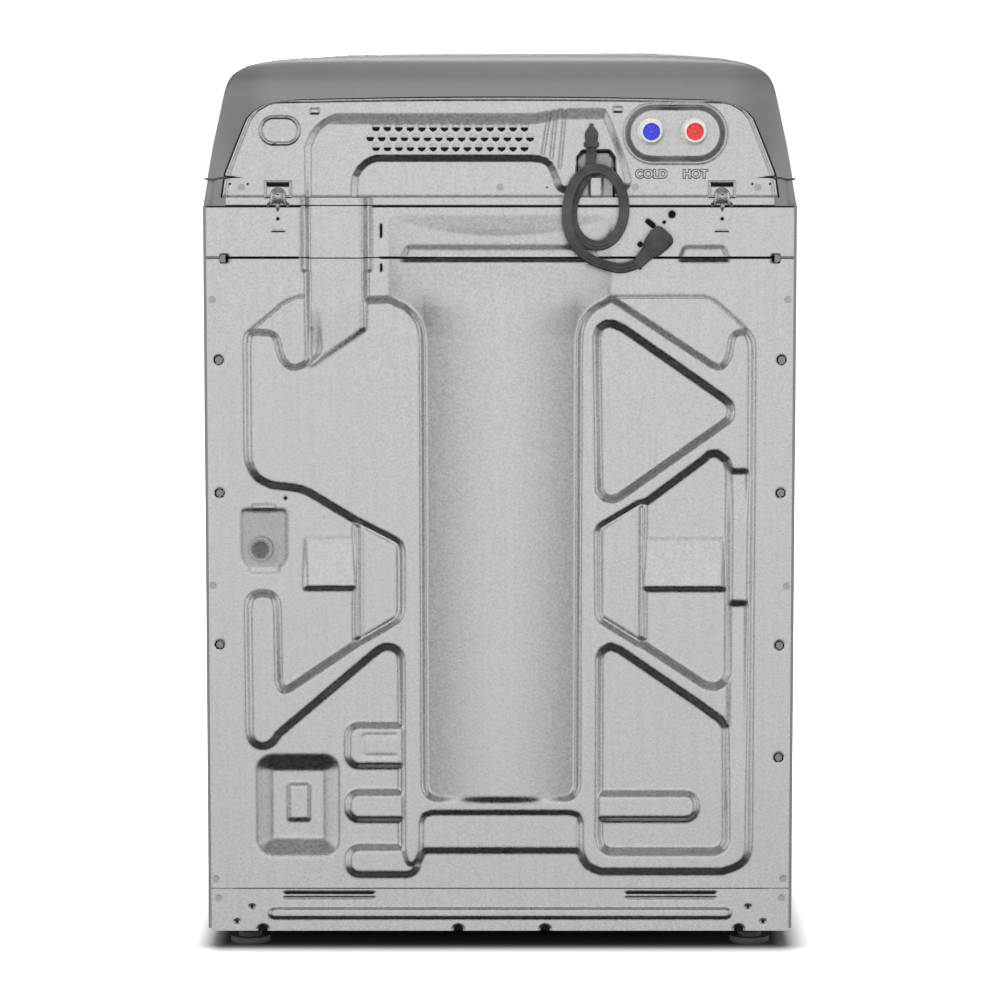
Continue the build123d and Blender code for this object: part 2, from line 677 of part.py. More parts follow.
# ---- suspension ----
LUG = 400.0              # underside of the tub's lugs
ROD_END = 322.0
HANGER = 872.0           # corner plates that the rods hang from
CORNERS = [(sx * ROD_X, y) for sx in (-1, 1) for y in ROD_Y]
with BuildPart() as suspension_corners:
    for x, y in CORNERS:
        far_x = math.copysign(INSIDE - 0.5, x)
        block(sorted((x - math.copysign(25, x), far_x)), (y - 35, y + 35), (HANGER, HANGER + 4))
        bore(HANGER, HANGER + 4, 6, (x, y))
save(suspension_corners.part, "suspension_corners")
with BuildPart() as suspension_rods:
    for x, y in CORNERS:
        ring(ROD_END + 8, HANGER + 4, 4, centre=(x, y))
        ring(HANGER + 4, HANGER + 14, 10, centre=(x, y))
        ring(ROD_END, ROD_END + 8, 18, centre=(x, y))
save(suspension_rods.part, "suspension_rods")
with BuildPart() as suspension_springs:
    for x, y in CORNERS:
        ring(ROD_END + 8, LUG, 15, 10, (x, y))
save(suspension_springs.part, "suspension_springs")

# ---- tub ----
SPIN_R, SPIN_BORE = 17.0, 11.0
BEARING_R = 31.0
with BuildPart() as outer_tub:
    ring(TUB_FLOOR, TUB_TOP, TUB_R)
    bore(TUB_FLOOR + 4, TUB_TOP, TUB_R - 3)
    ring(TUB_FLOOR - 36, TUB_FLOOR, 60)
    ring(TUB_FLOOR, TUB_FLOOR + 20, 45)
    for x, y in CORNERS:
        reach = math.hypot(x, y - TUB_Y)
        middle = (reach + TUB_R + 15) / 2
        angle = math.degrees(math.atan2(y - TUB_Y, x))
        for low, wide in ((LUG, 44), (LUG + 8, 8)):
            with BuildSketch(flat(low)):
                with Locations(Location((0, TUB_Y), angle)):
                    with Locations(((TUB_R - 2 + reach + 18) / 2, 0)):
                        Rectangle(reach + 20 - TUB_R, wide)
            extrude(amount=8)
        bore(LUG, LUG + 20, 7, (x, y))
    bore(TUB_FLOOR - 36, TUB_FLOOR + 20, SPIN_R + 1.5)
    bore(TUB_FLOOR - 36, TUB_FLOOR - 20, BEARING_R)
    bore(TUB_FLOOR - 4, TUB_FLOOR + 10, BEARING_R)
    bore(TUB_FLOOR + 10, TUB_FLOOR + 20, 26)
    bore(TUB_FLOOR, TUB_FLOOR + 4, 18, (PUMP[0], PUMP[1]))
save(outer_tub.part, "outer_tub")
with BuildPart() as tub_bearings:
    ring(TUB_FLOOR - 36, TUB_FLOOR - 20, BEARING_R, SPIN_R + RUN_FIT)
    ring(TUB_FLOOR - 4, TUB_FLOOR + 10, BEARING_R, SPIN_R + RUN_FIT)
save(tub_bearings.part, "tub_bearings")
with BuildPart() as tub_seal:
    ring(TUB_FLOOR + 10, TUB_FLOOR + 19, 26, SPIN_R + 0.3)
save(tub_seal.part, "tub_seal")
with BuildPart() as tub_ring:
    ring(TUB_TOP, TUB_TOP + 6, TUB_R + 4, 236)
    ring(TUB_TOP - 10, TUB_TOP, TUB_R + 4, TUB_R)
    ring(TUB_TOP + 6, TUB_TOP + 14, 240, 236)
save(tub_ring.part, "tub_ring")

with BuildPart() as drive_plate:
    with BuildSketch(flat(TUB_FLOOR - 40)):
        with Locations((-55, TUB_Y)):
            RectangleRounded(340, 170, 30)
        with Locations((0, TUB_Y)):
            Circle(SPIN_R + 2, mode=Mode.SUBTRACT)
        with Locations(MOTOR):
            Circle(9, mode=Mode.SUBTRACT)
    extrude(amount=4)
save(drive_plate.part, "drive_plate")
BELT_Z = 234.0
with BuildPart() as drive_motor:
    ring(BELT_Z - 110, BELT_Z - 14, 62, centre=MOTOR)
    bore(BELT_Z - 30, BELT_Z - 14, 6 + RUN_FIT, MOTOR)
    for dx, dy in ((50, 50), (50, -50), (-50, 50), (-50, -50)):
        ring(BELT_Z - 40, TUB_FLOOR - 40, 7, centre=(MOTOR[0] + dx, MOTOR[1] + dy))
save(drive_motor.part, "drive_motor")
PULLEY_R, MOTOR_PULLEY_R, BELT_WIDE = 72.0, 12.0, 10.0
with BuildPart() as motor_pulley:
    ring(BELT_Z - 8, BELT_Z + 8, MOTOR_PULLEY_R + 4, centre=MOTOR)
    with BuildSketch(flat(BELT_Z - 6)):
        with Locations(MOTOR):
            Circle(MOTOR_PULLEY_R + 5)
            Circle(MOTOR_PULLEY_R, mode=Mode.SUBTRACT)
    extrude(amount=12, mode=Mode.SUBTRACT)
    ring(BELT_Z - 29, BELT_Z - 8, 6, centre=MOTOR)
save(motor_pulley.part, "motor_pulley")
with BuildPart() as driven_pulley:
    ring(BELT_Z - 8, BELT_Z + 8, PULLEY_R + 4)
    with BuildSketch(flat(BELT_Z - 6)):
        with Locations((0, TUB_Y)):
            Circle(PULLEY_R + 5)
            Circle(PULLEY_R, mode=Mode.SUBTRACT)
    extrude(amount=12, mode=Mode.SUBTRACT)
    ring(BELT_Z + 8, BELT_Z + 16, 20)
    with BuildSketch(flat(BELT_Z - 8)):
        with Locations((0, TUB_Y)):
            with PolarLocations(44, 5):
                Circle(14)
    extrude(amount=16, mode=Mode.SUBTRACT)
    bore(BELT_Z - 8, BELT_Z + 16, SPIN_BORE - RUN_FIT)
save(driven_pulley.part, "driven_pulley")
with BuildPart() as drive_belt:
    with BuildSketch(flat(BELT_Z - BELT_WIDE / 2)):
        for grow, mode in ((3.3, Mode.ADD), (0.4, Mode.SUBTRACT)):
            with BuildSketch(mode=Mode.PRIVATE) as loop:
                with Locations((0, TUB_Y)):
                    Circle(PULLEY_R + grow)
                with Locations(MOTOR):
                    Circle(MOTOR_PULLEY_R + grow)
                make_hull()
            add(loop.sketch, mode=mode)
    extrude(amount=BELT_WIDE)
save(drive_belt.part, "drive_belt")

PUMP_LOW = 212.0
with BuildPart() as drain_pump:
    ring(PUMP_LOW, PUMP_LOW + 38, 40, centre=PUMP)
    bore(PUMP_LOW + 4, PUMP_LOW + 34, 33, PUMP)
    ring(PUMP_LOW + 34, TUB_FLOOR, 18, centre=PUMP)
    bore(PUMP_LOW + 30, TUB_FLOOR, 15, PUMP)
    ring(PUMP_LOW - 60, PUMP_LOW, 28, centre=PUMP)
    bore(PUMP_LOW - 30, PUMP_LOW + 4, 3 + RUN_FIT, PUMP)
    with BuildSketch(Plane(origin=(PUMP[0], PUMP[1] + 30, 232), x_dir=(1, 0, 0), z_dir=(0, 1, 0))):
        Circle(12)
        Circle(9, mode=Mode.SUBTRACT)
    extrude(amount=24)
    with BuildSketch(Plane(origin=(PUMP[0], PUMP[1] + 30, 232), x_dir=(1, 0, 0), z_dir=(0, 1, 0))):
        Circle(9)
    extrude(amount=24, mode=Mode.SUBTRACT)
save(drain_pump.part, "drain_pump")
with BuildPart() as pump_impeller:
    ring(PUMP_LOW + 6, PUMP_LOW + 10, 28, centre=PUMP)
    ring(PUMP_LOW - 28, PUMP_LOW + 24, 3, centre=PUMP)
    with BuildSketch(flat(PUMP_LOW + 10)):
        with Locations(PUMP):
            with PolarLocations(14.5, 6):
                Rectangle(25, 2)
    extrude(amount=12)
save(pump_impeller.part, "pump_impeller")

# ---- basket ----
BASKET_LOW, BASKET_HIGH = 338.0, 800.0
with BuildPart() as basket:
    ring(BASKET_LOW, BASKET_HIGH, BASKET_R)
    bore(BASKET_LOW + 2, BASKET_HIGH, BASKET_R - 2)
    bore(BASKET_LOW, BASKET_LOW + 2, 30)
save(basket.part, "basket")
with BuildPart() as balance_ring:
    ring(BASKET_HIGH, BASKET_HIGH + 28, BASKET_R + 2, 236)
    fillet(balance_ring.edges().filter_by(GeomType.CIRCLE), 5)
save(balance_ring.part, "balance_ring")
with BuildPart() as basket_hub:
    ring(BASKET_LOW - 12, BASKET_LOW, 100, SPIN_R)
    ring(BASKET_LOW, BASKET_LOW + 20, 30, SPIN_R - 1)
    ring(254, BASKET_LOW + 20, SPIN_R)
    bore(254, BASKET_LOW + 20, SPIN_BORE + RUN_FIT)
save(basket_hub.part, "basket_hub")
with BuildPart() as drive_shaft:
    ring(222, 400, SPIN_BORE - 2 * RUN_FIT)
save(drive_shaft.part, "drive_shaft")

AGITATOR_LOW, AGITATOR_HIGH = 362.0, 700.0
with BuildPart() as agitator:
    with BuildSketch(Plane.XZ.offset(-TUB_Y)):
        with BuildLine():
            Polyline((0, AGITATOR_LOW), (190, AGITATOR_LOW), (192, AGITATOR_LOW + 14), (120, AGITATOR_LOW + 34))
            ThreePointArc((120, AGITATOR_LOW + 34), (74, AGITATOR_LOW + 78), (58, AGITATOR_LOW + 150))
            Polyline((58, AGITATOR_LOW + 150), (44, AGITATOR_HIGH), (0, AGITATOR_HIGH), (0, AGITATOR_LOW))
        make_face()
    revolve(axis=Axis((0, TUB_Y, 0), (0, 0, 1)))
    with BuildSketch(flat(AGITATOR_LOW + 10)):
        with Locations((0, TUB_Y)):
            with PolarLocations(105, 4):
                Rectangle(150, 10)
    extrude(amount=110, taper=3)
    bore(AGITATOR_LOW, 402, SPIN_BORE - 2 * RUN_FIT)
    bore(AGITATOR_HIGH - 60, AGITATOR_HIGH, 36)
save(agitator.part, "agitator")
with BuildPart() as agitator_cap:
    ring(AGITATOR_HIGH, AGITATOR_HIGH + 10, 46)
    ring(AGITATOR_HIGH - 12, AGITATOR_HIGH, 35.8, 32)
    ring(AGITATOR_HIGH + 10, AGITATOR_HIGH + 22, 18)
    fillet(agitator_cap.edges().filter_by(GeomType.CIRCLE).sort_by(Axis.Z)[-1], 5)
save(agitator_cap.part, "agitator_cap")
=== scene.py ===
import json
import math
import bmesh
import bpy
import mathutils
import numpy as np
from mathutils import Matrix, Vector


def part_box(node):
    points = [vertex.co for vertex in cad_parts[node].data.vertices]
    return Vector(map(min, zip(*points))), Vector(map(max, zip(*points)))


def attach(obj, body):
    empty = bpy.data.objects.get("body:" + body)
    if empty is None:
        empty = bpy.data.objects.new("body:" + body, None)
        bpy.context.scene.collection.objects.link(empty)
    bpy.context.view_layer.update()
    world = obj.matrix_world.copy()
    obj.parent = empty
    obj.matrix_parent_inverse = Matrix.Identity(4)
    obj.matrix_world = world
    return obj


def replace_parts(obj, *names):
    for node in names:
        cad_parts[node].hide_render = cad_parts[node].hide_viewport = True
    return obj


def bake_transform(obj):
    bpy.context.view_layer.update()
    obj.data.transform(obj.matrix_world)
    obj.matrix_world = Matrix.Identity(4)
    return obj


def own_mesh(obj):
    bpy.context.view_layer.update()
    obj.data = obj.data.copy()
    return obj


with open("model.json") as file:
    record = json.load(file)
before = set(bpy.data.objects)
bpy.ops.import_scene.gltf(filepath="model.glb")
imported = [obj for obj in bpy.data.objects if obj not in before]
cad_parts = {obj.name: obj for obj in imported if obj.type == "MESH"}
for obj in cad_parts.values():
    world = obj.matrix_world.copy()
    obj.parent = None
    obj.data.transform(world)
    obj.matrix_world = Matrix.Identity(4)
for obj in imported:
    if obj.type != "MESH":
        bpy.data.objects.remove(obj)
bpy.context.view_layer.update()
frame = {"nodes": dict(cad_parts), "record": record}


# ---- Camera, floor and light ----
# A long lens stands behind the machine, level with its console, and looks slightly down at the rear panel.
# The floor is a plain pale sheet with one large soft lamp over the camera and a weaker one on each side; its
# glow and colour go dark under and round the machine, a painted shadow.
scene = bpy.context.scene
scene.view_settings.view_transform = "Standard"
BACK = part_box("rear_upper_panel")[0][1]
AIM = (0.0, BACK, 0.5418)
DISTANCE = 4.5
PITCH = math.radians(6.1)
lens = bpy.data.cameras.new("camera")
lens.sensor_width = 36.0
lens.lens = 137.6
lens.clip_end = 60.0
camera = bpy.data.objects.new("camera", lens)
camera.location = (0.0, BACK + DISTANCE, AIM[2] + DISTANCE * math.tan(PITCH))
camera.rotation_euler = (math.pi / 2 - PITCH, 0.0, math.pi)
scene.collection.objects.link(camera)
scene.camera = camera


class Wire:
    """A shader socket that does arithmetic: an expression on wires adds its Math nodes."""

    def __init__(self, tree, socket=None):
        self.tree = tree
        self.socket = socket

    def node(self, kind, settings=None, sockets=None, out=0):
        """Adds a node: settings are its own properties, sockets its input values or wires."""
        made = self.tree.nodes.new("ShaderNode" + kind)
        for key, value in (settings or {}).items():
            if key == "stops":
                ramp = made.color_ramp.elements
                while len(ramp) < len(value):
                    ramp.new(1.0)
                for stop, (place, color) in zip(ramp, value):
                    stop.position = place
                    stop.color = (*color, 1) if isinstance(color, tuple) else (color, color, color, 1)
            else:
                setattr(made, key, value)
        for key, value in (sockets or {}).items():
            if isinstance(value, Wire):
                self.tree.links.new(value.socket, made.inputs[key])
            else:
                made.inputs[key].default_value = value
        return Wire(self.tree, made.outputs[out])

    def math(self, operation, a, b=0.0, c=0.0):
        return self.node("Math", {"operation": operation}, {0: a, 1: b, 2: c})

    def __add__(self, other):
        return self.math("ADD", self, other)

    def __radd__(self, other):
        return self.math("ADD", other, self)

    def __sub__(self, other):
        return self.math("SUBTRACT", self, other)

    def __rsub__(self, other):
        return self.math("SUBTRACT", other, self)

    def __mul__(self, other):
        return self.math("MULTIPLY", self, other)

    def __rmul__(self, other):
        return self.math("MULTIPLY", other, self)

    def __truediv__(self, other):
        return self.math("DIVIDE", self, other)

    def split(self):
        """The three parts of a vector wire."""
        parts = self.node("SeparateXYZ", {}, {0: self}).socket.node.outputs
        return [Wire(self.tree, part) for part in parts]

    def size(self):
        return self.math("ABSOLUTE", self)

    def noise(self, scale, detail=3.0, rough=0.55, out=0):
        return self.node("TexNoise", {}, {"Vector": self, "Scale": scale, "Detail": detail,
                                          "Roughness": rough}, out)

    def mix(self, first, second):
        """Blends two colours by this wire."""
        colors = [v if isinstance(v, Wire) else (*v, 1) for v in (first, second)]
        return self.node("Mix", {"data_type": "RGBA"}, {0: self, 6: colors[0], 7: colors[1]}, 2)

    def step(self, low, high):
        """0 below low, 1 above high, straight between."""
        return self.node("MapRange", {}, {"Value": self, 1: low, 2: high})


class Finish:
    """A material with its Principled shader, its object coordinates and the links between them."""

    def __init__(self, name, **constants):
        self.material = bpy.data.materials.new(name)
        self.material.use_nodes = True
        tree = self.material.node_tree
        self.shader = tree.nodes["Principled BSDF"]
        self.tree = tree
        for key, value in constants.items():
            self.shader.inputs[key.replace("_", " ")].default_value = value
        self.at = Wire(tree).node("TexCoord", out=3)

    def attribute(self, name):
        return Wire(self.tree).node("Attribute", {"attribute_name": name}, out=2)

    def set(self, **wires):
        for key, wire in wires.items():
            self.tree.links.new(wire.socket, self.shader.inputs[key.replace("_", " ")])
        return self

    def bump(self, height, strength, distance):
        made = self.at.node("Bump", {}, {"Height": height, "Strength": strength, "Distance": distance})
        return self.set(Normal=made)


floor_mesh = bpy.data.meshes.new("floor")
floor_mesh.from_pydata([(-30, -30, 0), (30, -30, 0), (30, 30, 0), (-30, 30, 0)], [], [(0, 1, 2, 3)])
floor = bpy.data.objects.new("floor", floor_mesh)
scene.collection.objects.link(floor)
floor.visible_glossy = False
floor.visible_diffuse = False
# painted shadow: the floor's glow and colour fall to near black within 7 cm of the machine's footprint
floor_paint = Finish("floor_paint", Roughness=0.9, Emission_Strength=1.0)
floor_x, floor_y, _ = floor_paint.at.split()
beyond_x = floor_paint.at.math("MAXIMUM", floor_x.size() - 0.33, 0.0)
beyond_y = floor_paint.at.math("MAXIMUM", floor_y.size() - 0.31, 0.0)
footprint = floor_paint.at.math("SQRT", beyond_x * beyond_x + beyond_y * beyond_y)
floor_glow_with_painted_shadow = footprint.node("ValToRGB", {"stops": ((0.0, 0.0), (0.2, 0.03), (0.45, 0.45), (0.8, 0.9), (1.0, 1.0))},
                      {0: footprint.step(0.0, 0.07)})
floor_paint.set(Emission_Color=floor_glow_with_painted_shadow, Base_Color=footprint.step(0.0, 0.07).mix((0.03, 0.03, 0.03),
                                                                              (0.9, 0.9, 0.9)))
floor_mesh.materials.append(floor_paint.material)


def lamp(name, place, aim, power, size):
    """A square soft lamp at place, turned to aim."""
    data = bpy.data.lights.new(name, "AREA")
    data.energy = power
    data.size = size
    obj = bpy.data.objects.new(name, data)
    obj.location = place
    look = np.array(aim, float) - np.array(place, float)
    tilt = math.atan2(math.hypot(look[0], look[1]), -look[2])
    obj.rotation_euler = (tilt, 0.0, math.atan2(look[0], -look[1]) + math.pi)
    scene.collection.objects.link(obj)
    return obj


rear_lamps = [lamp("lamp_rear", (0.5, 5.2, 2.2), (0, 0.3, 0.55), 150, 1.8),
              lamp("lamp_rear_left", (3.6, 3.0, 1.6), (0, 0.3, 0.5), 30, 1.2),
              lamp("lamp_rear_right", (-3.6, 3.0, 1.6), (0, 0.3, 0.5), 22, 1.2)]
for rear_lamp in rear_lamps:
    rear_lamp.visible_glossy = False
lamp("lamp_front", (0.8, -4.6, 2.8), (0, -0.3, 0.6), 190, 2.0)
lamp("lamp_top", (0, -0.6, 3.6), (0, -0.2, 0.9), 30, 1.6)

sky = bpy.data.worlds.new("studio")
scene.world = sky
sky.use_nodes = True
sky_x, sky_y, sky_z = Wire(sky.node_tree).node("TexCoord").split()
lobe = sky_y.math("POWER", sky_y.size(), 5.0) * (0.5 + 0.5 * sky_y.step(-0.2, 0.2))
flanks = 1.35 * sky_x.size().step(0.62, 0.96) + 0.40 * sky_z.step(0.66, 0.92)
studio = (0.045 + (1.60 - 0.24 * sky_z.step(-0.2, 0.06)) * lobe + flanks) * (0.012 + 0.988 * sky_z.step(-0.5,
                                                                                                        -0.2))
seen = Wire(sky.node_tree).node("LightPath")
backdrop = seen.node("Mix", {"data_type": "RGBA"}, {0: seen, 6: studio, 7: (1.15, 1.15, 1.15, 1)}, 2)
background = sky.node_tree.nodes["Background"]
sky.node_tree.links.new(backdrop.socket, background.inputs[0])
background.inputs[1].default_value = 0.9


# ---- Power cord ----
# A flat three-wire mains lead, about 12 mm wide, of dark grey vinyl with a rib over each wire. It leaves a
# tapered strain relief on the console's rear panel, makes one flat loop and a half, and ends in a
# right-angle plug that is parked on the upper rear panel for shipping.


def vinyl_finish():
    """Dark grey vinyl: matt, with dust-pale patches and a fine moulded grain."""
    skin = Finish("cord_vinyl", Specular_IOR_Level=0.35)
    patch = skin.at.noise(35.0, 4.0)
    grain = skin.at.noise(900.0, 2.0)
    skin.set(Base_Color=patch.step(0.35, 0.7).mix((0.045, 0.045, 0.048), (0.085, 0.085, 0.09)),
             Roughness=0.48 + 0.18 * grain)
    return skin.bump(grain, 0.25, 0.0003).material


def grid_piece(name, points, finish, body, wrap=(False, False), caps=(False, False), smooth=35.0):
    """Makes an object from a grid of points (rows, columns, 3). wrap joins the last row or column to the
    first; caps closes the first and last row with a single face. Faces follow row x column order."""
    rows, columns = points.shape[:2]
    r = np.arange(rows if wrap[0] else rows - 1)
    c = np.arange(columns if wrap[1] else columns - 1)
    r, c = np.meshgrid(r, c, indexing="ij")
    r2, c2 = (r + 1) % rows, (c + 1) % columns
    quads = np.stack([r * columns + c, r * columns + c2, r2 * columns + c2, r2 * columns + c], -1).reshape(-1,
                                                                                                           4)
    faces = quads.tolist()
    if caps[0]:
        faces.append(list(range(columns))[::-1])
    if caps[1]:
        faces.append([(rows - 1) * columns + i for i in range(columns)])
    return mesh_piece(name, points.reshape(-1, 3), faces, finish, body, smooth)


def mesh_piece(name, points, faces, finish, body, smooth=35.0):
    """Makes an object from points and faces, normals outwards. It rides on body, if one is given."""
    mesh = bpy.data.meshes.new(name)
    mesh.from_pydata(np.asarray(points, float).tolist(), [], faces)
    work = bmesh.new()
    work.from_mesh(mesh)
    bmesh.ops.remove_doubles(work, verts=work.verts, dist=1e-6)
    bmesh.ops.dissolve_degenerate(work, edges=work.edges, dist=1e-7)
    bmesh.ops.recalc_face_normals(work, faces=work.faces)
    work.to_mesh(mesh)
    work.free()
    mesh.polygons.foreach_set("use_smooth", np.ones(len(mesh.polygons), bool))
    mesh.set_sharp_from_angle(angle=math.radians(smooth))
    obj = bpy.data.objects.new(name, mesh)
    scene.collection.objects.link(obj)
    mesh.materials.append(finish)
    if body:
        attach(obj, body)
    return obj


def swept(path, section, side_hint, scale=None):
    """Carries a closed section (n, 2) along path (m, 3). The section's x lies across the path, square to
    side_hint, and its y points along side_hint. scale gives the section's size at each path point."""
    path = np.asarray(path, float)
    tangent = np.gradient(path, axis=0)
    tangent /= np.linalg.norm(tangent, axis=1)[:, None]
    side = np.cross(tangent, np.asarray(side_hint, float))
    side /= np.linalg.norm(side, axis=1)[:, None]
    up = np.cross(side, tangent)
    size = np.ones(len(path)) if scale is None else np.asarray(scale, float)
    return (path[:, None] + side[:, None] * (section[None, :, :1] * size[:, None, None])
            + up[:, None] * (section[None, :, 1:] * size[:, None, None]))


def square(wave, power):
    """A sine or cosine made boxier: its size raised to power, its sign kept."""
    return np.sign(wave) * np.abs(wave) ** power


def curve_points(name, route, count):
    """The smooth line of a route: points of a NURBS spline of order 3 with the route as control points."""
    curve = bpy.data.curves.new(name, "CURVE")
    curve.dimensions = "3D"
    spline = curve.splines.new("NURBS")
    spline.points.add(len(route) - 1)
    for point, place in zip(spline.points, route):
        point.co = (*place, 1.0)
    spline.order_u = 3
    spline.use_endpoint_u = True
    spline.resolution_u = count
    holder = bpy.data.objects.new(name, curve)
    mesh = bpy.data.meshes.new_from_object(holder)
    points = np.array([v.co[:] for v in mesh.vertices])
    bpy.data.objects.remove(holder)
    bpy.data.curves.remove(curve)
    bpy.data.meshes.remove(mesh)
    return points


# across in the rear view, distance to the rear, height: millimetres, as the CAD's route has them
cord_route = [
    (107, 350, 955.5), (107, 350, 936), (96, 348, 917), (85, 348, 894), (84, 350, 869), (95, 354, 849),
    (115, 355, 841), (134, 355, 850), (145, 353, 871), (146, 350, 896), (138, 350, 919), (120, 354, 934),
    (100, 356, 932), (86, 356, 917), (79, 356, 895), (78, 357, 870), (86, 360, 846), (103, 360, 828),
    (126, 357, 819), (147, 354, 815), (163, 353, 823),
]
cord_line = curve_points("cord_line", [(-u / 1000, y / 1000, z / 1000) for u, y, z in cord_route], 8)
CORD_WIDE = 0.0120
CORD_THICK = 0.0048
around = np.linspace(0, 2 * np.pi, 48, endpoint=False)
# three round lobes side by side: an ellipse whose thickness swells over each wire
lobes = 0.80 + 0.20 * np.cos(3 * np.pi * np.cos(around))
cord_section = np.stack([CORD_WIDE / 2 * np.cos(around),
                         CORD_THICK / 2 * np.sign(np.sin(around)) * np.abs(np.sin(around)) ** 0.6 * lobes],
                         -1)
vinyl = vinyl_finish()
cord_points = swept(cord_line, cord_section, (0, 1, 0))
power_cord = grid_piece("power_cord_lead", cord_points, vinyl, "cabinet", (False, True), (True, True), 60)
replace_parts(power_cord, "power_cord")

# The strain relief: a clamp block on the panel with a tapered, ribbed sleeve that points down along the lead.
relief_low, relief_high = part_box("strain_relief")
relief_z = np.linspace(relief_high[2] + 0.005, relief_low[2] - 0.004, 60)
relief_path = np.stack([np.full(60, cord_route[0][0] / -1000), np.full(60, 0.3495), relief_z], -1)
along = np.linspace(0, 1, 60)
taper = np.interp(along, [0, 0.1, 0.14, 0.3, 0.42, 0.62, 0.66, 0.8, 0.82, 1.0],
                  [0.28, 0.3, 0.5, 0.92, 1.0, 0.86, 1.12, 1.12, 0.76, 0.72])
ribs = np.where((along > 0.84), 0.05 * np.sign(np.sin(along * 62)), 0.0)
relief_section = np.stack([0.0080 * square(np.cos(around), 0.7), 0.0056 * square(np.sin(around), 0.7)], -1)
strain_relief = grid_piece("strain_relief_sleeve", swept(relief_path, relief_section, (0, 1, 0),
                                                         taper + ribs),
                           vinyl, "cabinet", (False, True), (True, True), 40)
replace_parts(strain_relief, "strain_relief")

# The plug: a flat right-angle body, narrow at the lead and wide and round at its far end, with finger ribs.
PLUG_TURN = math.radians(48.0)
plug_start = cord_line[-1]
plug_axis = np.array([-math.cos(PLUG_TURN), 0.0, math.sin(PLUG_TURN)])
plug_side = np.array([math.sin(PLUG_TURN), 0.0, math.cos(PLUG_TURN)])
lengthwise = np.linspace(0, 1, 72)
plug_long = 0.052
half_wide = np.interp(lengthwise, [0, 0.06, 0.3, 0.5, 0.75, 1.0],
                      [0.0062, 0.0068, 0.0082, 0.0125, 0.0146, 0.0146])
half_wide = half_wide * np.sqrt(np.clip(1 - np.clip((lengthwise - 0.86) / 0.14, 0, 1) ** 2 * 0.75, 0, 1))
half_deep = np.interp(lengthwise, [0, 0.3, 0.55, 0.94, 1.0], [0.0036, 0.0052, 0.0085, 0.0085, 0.0062])
ridge = np.where((lengthwise > 0.1) & (lengthwise < 0.42), 0.05 * np.sign(np.sin(lengthwise * 95)), 0)
plug_middle = plug_start + plug_axis * (lengthwise[:, None] * plug_long - 0.003)
plug_middle[:, 1] = np.interp(lengthwise, [0, 0.4, 1], [plug_start[1], BACK + 0.0122, BACK + 0.0105])
plug_points = (plug_middle[:, None]
               + plug_side * (half_wide * (1 + ridge))[:, None, None] * square(np.cos(around), 0.6)[None, :,
                                                                                                    None]
               + np.array([0, 1.0, 0]) * (half_deep * (1 + ridge))[:, None, None] * square(np.sin(around),
                   0.6)[None, :, None])
power_plug = grid_piece("power_plug_body", plug_points, vinyl, "cabinet", (False, True), (True, True), 50)
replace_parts(power_plug, "power_plug")


# ---- Lower and upper rear panels ----
# Two sheets of hot-dip galvanised steel, some 0.8 mm thick, pressed in one die pattern that runs on across the
# seam between them: a raised frame with a triangle, a hexagon and a square left low, and a shallow crown in
# the middle. They lap over the cabinet's rear flanges and are screwed on along their sides.


def galvanised_finish(name, spots=1.0):
    """Galvanised sheet: pale satin zinc with fine crystal speckle, faint long rolling marks and grey wear, and
    painted shade: near black and without metal where the mesh's painted shade attribute marks holes, slots,
    seams and recesses.
    """
    skin = Finish(name, IOR=1.45, Specular_IOR_Level=0.08)
    crystal = skin.at.node("TexVoronoi", {"feature": "F1"}, {"Vector": skin.at, "Scale": 420.0}, 1)
    speck = crystal.node("SeparateColor", {}, {0: crystal})
    cloud = skin.at.noise(7.0, 5.0)
    grain = skin.at.noise(1500.0, 2.0)
    rolled = skin.at.node("Mapping", {}, {"Vector": skin.at, "Scale": (260.0, 260.0, 6.0)}).noise(1.0, 2.0)
    # painted shade: holes, slots, seams and recesses are painted near black
    pit = skin.attribute("pit").step(0.28, 0.62)
    tone = 0.5 + 0.26 * (speck - 0.5) + 0.14 * (cloud - 0.5) + 0.08 * (rolled - 0.5) + 0.26 * (grain - 0.5)
    zinc = tone.step(0.3, 0.7).mix((0.40, 0.402, 0.402), (0.70, 0.703, 0.703))
    skin.set(Base_Color=pit.mix(zinc, (0.006, 0.006, 0.006)),
             Metallic=0.96 * (1 - pit),
             Roughness=0.27 + 0.12 * speck + 0.1 * (cloud - 0.5))
    return skin.bump(0.6 * speck + 0.4 * grain, 0.08 * spots, 0.0004).material


galvanised = galvanised_finish("galvanised")


def edge_distance(u, z, outline):
    """Signed distance to a closed outline, negative inside: the least distance to its sides, with the sign
    turned over at each side that a level ray to the right crosses."""
    points = np.asarray(outline, float)
    best = np.full(u.shape, 1e9)
    inside = np.zeros(u.shape, bool)
    for (au, az), (bu, bz) in zip(points, np.roll(points, -1, axis=0)):
        du, dz = bu - au, bz - az
        t = np.clip(((u - au) * du + (z - az) * dz) / (du * du + dz * dz), 0, 1)
        best = np.minimum(best, np.hypot(u - au - t * du, z - az - t * dz))
        if dz != 0:
            crosses = ((az > z) != (bz > z)) & (u < au + (z - az) * du / dz)
            inside ^= crosses
    return np.where(inside, -best, best)


def line_distance(u, z, route):
    """Distance to an open run of straight lines."""
    best = np.full(u.shape, 1e9)
    for (au, az), (bu, bz) in zip(route, route[1:]):
        du, dz = bu - au, bz - az
        t = np.clip(((u - au) * du + (z - az) * dz) / (du * du + dz * dz), 0, 1)
        best = np.minimum(best, np.hypot(u - au - t * du, z - az - t * dz))
    return best


def ease(t):
    """A straight slope from 0 to 1 with a small round at each end."""
    t = np.clip(t, 0, 1)
    return 0.65 * t + 0.35 * t * t * (3 - 2 * t)


def press(height, distance, level, wall):
    """Pushes the sheet to level inside an outline, with a sloping wall centred on it."""
    share = ease(0.5 - distance / wall)
    return height + (level - height) * share


